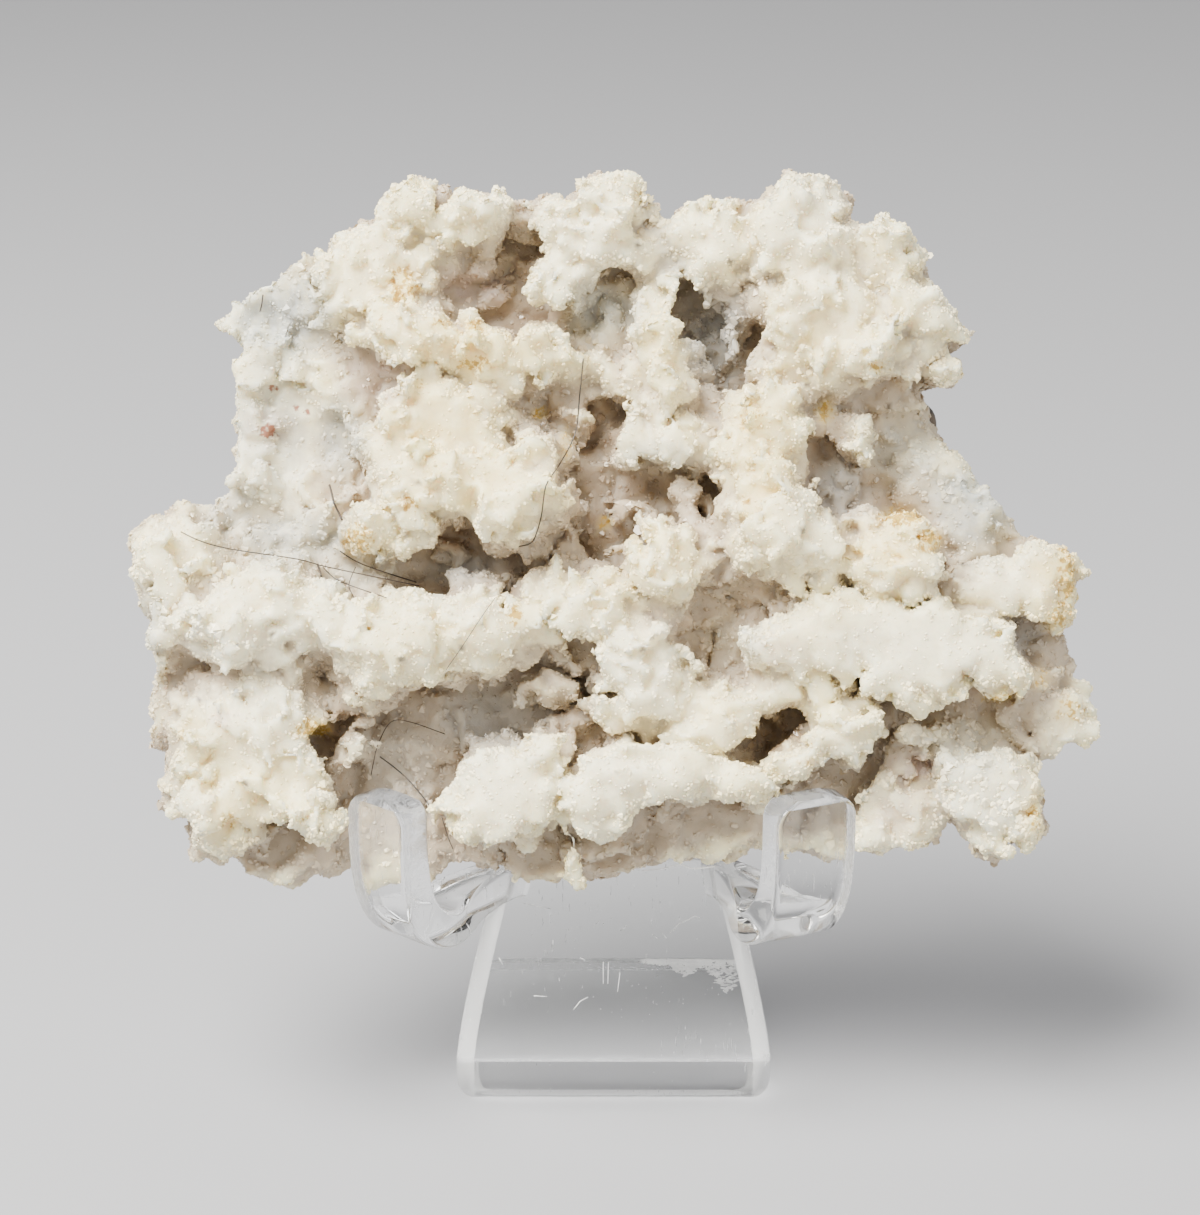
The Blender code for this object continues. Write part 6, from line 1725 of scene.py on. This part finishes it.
def add_bruises(work):
    """Little flakes in the base's top, crowded at its rear edge."""
    rng = np.random.default_rng(71)
    along, depths = np.array(BRUISE_DEPTHS).T
    for bruise in range(BRUISES):
        x = rng.uniform(along[0], along[-1])
        inward = np.interp(x, along, depths) * rng.uniform(0.0, 1.0) ** NEAR_EDGE
        inward += BRUISE_MARGIN
        x = min(x, rounded_end(REAR_HALF, FOOT_CORNER, inward) - BRUISE_MARGIN)
        place = Vector((x, BASE_DEPTH - inward, SHEET + 0.01)) + EASEL_SHIFT
        size = rng.uniform(*BRUISE_SIZES)
        turn = Matrix.Rotation(rng.uniform(0.0, math.pi), 4, "Z")
        shape = Matrix.Diagonal((size * rng.uniform(0.4, 1.2), size * 2.0, BRUISE_THICKNESS, 1.0))
        bmesh.ops.create_icosphere(
            work, subdivisions=1, radius=MM,
            matrix=Matrix.Translation(place * MM) @ turn @ shape)


def make_marks():
    """The bruises, the scratches and the pale fibre, as one piece."""
    work = bmesh.new()
    add_bruises(work)
    for points in SCRATCHES:
        rows = [(Vector((x, panel_front_y(z) + SCRATCH_LIFT, z)) + EASEL_SHIFT) * MM for x, z in points]
        work.from_mesh(thin_tube(rows, SCRATCH_RADIUS))
    fibre = smooth_path([Vector(point) for point in FIBRE], CURVE_STEPS)
    work.from_mesh(thin_tube(world_points([tuple(p) for p in fibre]), FIBRE_RADIUS))
    return closed_piece("marks", work, two_tone("bruised_acrylic", DULL_WHITE, 0.8, (0.35, 0.6), 0.4))


marks = make_marks()
print("marks:", triangles(marks.data), "triangles")

# %% [markdown]
# Loose hairs lie on the stone: dirt that came with it. Each is a thin tube along a smooth curve.
# Its points are given in u and w, and its height is read from the stone's own front, so a hair
# bridges the hollows and touches the masses, as a stiff hair does.

# %% Hairs on the stone
HAIR_LIFT = 0.35                # mm over the mean level of the stone's front
HAIR_SAG = 1.0                  # mm a hair may lie lower than a straight line between its ends
HAIR_TONES = ((0.012, 0.010, 0.010), (0.07, 0.055, 0.045))
# Radius in mm, height over the stone at its two ends, and the points in u and w
HAIRS = (
    (0.051, (0.2, 0.2), ((-2.3, 12.9), (-2.6, 10.0), (-2.9, 7.4), (-4.1, 4.9), (-5.0, 3.2), (-5.4, 1.0),
                         (-6.0, -0.7), (-7.1, -1.1))),
    (0.044, (0.1, 0.6), ((-32.2, 0.0), (-29.4, -1.1), (-23.7, -2.0), (-21.4, -2.6), (-14.6, -4.0))),
    (0.051, (0.3, 0.4), ((-20.5, -1.4), (-18.8, -2.4), (-15.0, -3.7))),
    (0.041, (0.3, 0.2), ((-21.8, -2.6), (-20.3, -3.7), (-16.8, -4.9))),
    (0.085, (0.5, 0.1), ((-21.4, 3.6), (-20.9, 2.2), (-20.3, 0.9))),
    (0.085, (0.1, 0.3), ((-22.2, -2.4), (-22.0, -2.9), (-21.8, -3.3))),
    (0.037, (0.3, 0.2), ((-19.4, -2.6), (-19.8, -3.9), (-19.3, -4.9))),
    (0.027, (0.1, 0.1), ((-8.8, -4.9), (-10.9, -8.1), (-12.4, -10.2))),
    (0.054, (0.4, 0.3), ((-17.7, -16.9), (-15.8, -18.4), (-13.9, -20.4))),
    (0.037, (0.2, 0.2), ((-18.4, -18.3), (-17.8, -16.0), (-16.9, -14.3), (-15.4, -14.3), (-12.8, -15.2))),
    (0.037, (0.2, 0.2), ((-12.9, -21.3), (-12.6, -22.8), (-12.2, -23.9))),
    (0.060, (0.1, 0.2), ((-26.7, 16.7), (-26.5, 17.3), (-26.4, 17.9))),
)


def hair_tube(radius, lifts, points):
    """A hair that bridges the hollows between the masses it lies on."""
    fine = smooth_path([Vector((u, w, 0.0)) for u, w in points], CURVE_STEPS)
    heights = np.array([float(sample(front_map, np.array(p.x), np.array(p.y))) for p in fine])
    straight = np.interp(range(len(fine)), (0, len(fine) - 1), heights[[0, -1]])
    heights = np.maximum(heights, straight - HAIR_SAG)
    for turn in range(3):
        heights[1:-1] = np.maximum(heights[1:-1], (heights[:-2] + heights[2:]) / 2)
    lift = np.linspace(lifts[0], lifts[1], len(fine)) + HAIR_LIFT
    rows = world_points([(p.x, p.y, n + up) for p, n, up in zip(fine, heights, lift)])
    return thin_tube(rows, radius)


def make_hairs():
    """Every hair, as one piece."""
    work = bmesh.new()
    for radius, lifts, points in HAIRS:
        work.from_mesh(hair_tube(radius, lifts, points))
    return closed_piece("hairs", work, two_tone("hair", HAIR_TONES, 2.0, (0.3, 0.55), 0.8))


hairs = make_hairs()
print("hairs:", len(HAIRS), "with", triangles(hairs.data), "triangles")

# %% [markdown]
# The floor is a plain pale sheet. The light is that of a small studio: a large soft panel above
# and to the left, a weaker one on the right, and a pale surround that the acrylic can reflect.

# %% Floor and light
FLOOR_SIZE = 3.0        # metres
FLOOR_COLOR = (0.315, 0.32, 0.34)
SURROUND_COLOR = (1.0, 0.985, 0.955)
SURROUND_STRENGTH = 0.85
FLOOR_RISE = 0.03       # mm: the acrylic's underside rests on the sheet without a film of air


def make_floor():
    mesh = bpy.data.meshes.new("floor")
    work = bmesh.new()
    bmesh.ops.create_grid(work, x_segments=1, y_segments=1, size=FLOOR_SIZE / 2)
    bmesh.ops.translate(work, verts=work.verts, vec=(0.0, 0.0, FLOOR_RISE * MM))
    work.to_mesh(mesh)
    work.free()
    floor = add_object("floor", mesh)
    stuff = bpy.data.materials.new("pale_floor")
    stuff.use_nodes = True
    shader = stuff.node_tree.nodes["Principled BSDF"]
    shader.inputs["Base Color"].default_value = (*FLOOR_COLOR, 1.0)
    shader.inputs["Roughness"].default_value = 0.7
    shader.inputs["Specular IOR Level"].default_value = 0.2
    floor.data.materials.append(stuff)
    return floor


def area_light(name, place_mm, size_mm, watts, color=(1.0, 1.0, 1.0)):
    data = bpy.data.lights.new(name, "AREA")
    data.shape = "RECTANGLE"
    data.size = size_mm[0] * MM
    data.size_y = size_mm[1] * MM
    data.energy = watts
    data.color = color
    light = add_object(name, data)
    light.location = Vector(place_mm) * MM
    aim = STONE_MIDDLE * MM - light.location
    light.rotation_euler = aim.to_track_quat("-Z", "Y").to_euler()
    return light


def make_world():
    world = bpy.data.worlds.new("studio")
    bpy.context.scene.world = world
    world.use_nodes = True
    sky = world.node_tree.nodes["Background"]
    sky.inputs["Color"].default_value = (*SURROUND_COLOR, 1.0)
    sky.inputs["Strength"].default_value = SURROUND_STRENGTH


floor = make_floor()
area_light("window_panel", (-260.0, -200.0, 520.0), (380.0, 380.0), 17.5, (1.0, 0.97, 0.905))
area_light("fill_panel", (380.0, -340.0, 260.0), (300.0, 300.0), 1.2)
make_world()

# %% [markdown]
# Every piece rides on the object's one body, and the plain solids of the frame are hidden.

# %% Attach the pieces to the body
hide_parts("chalcedony_cluster")
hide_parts("basalt_rind")
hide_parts("acrylic_easel")
for piece in [stone, rind, easel, marks, hairs] + druses:
    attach(piece, "root")
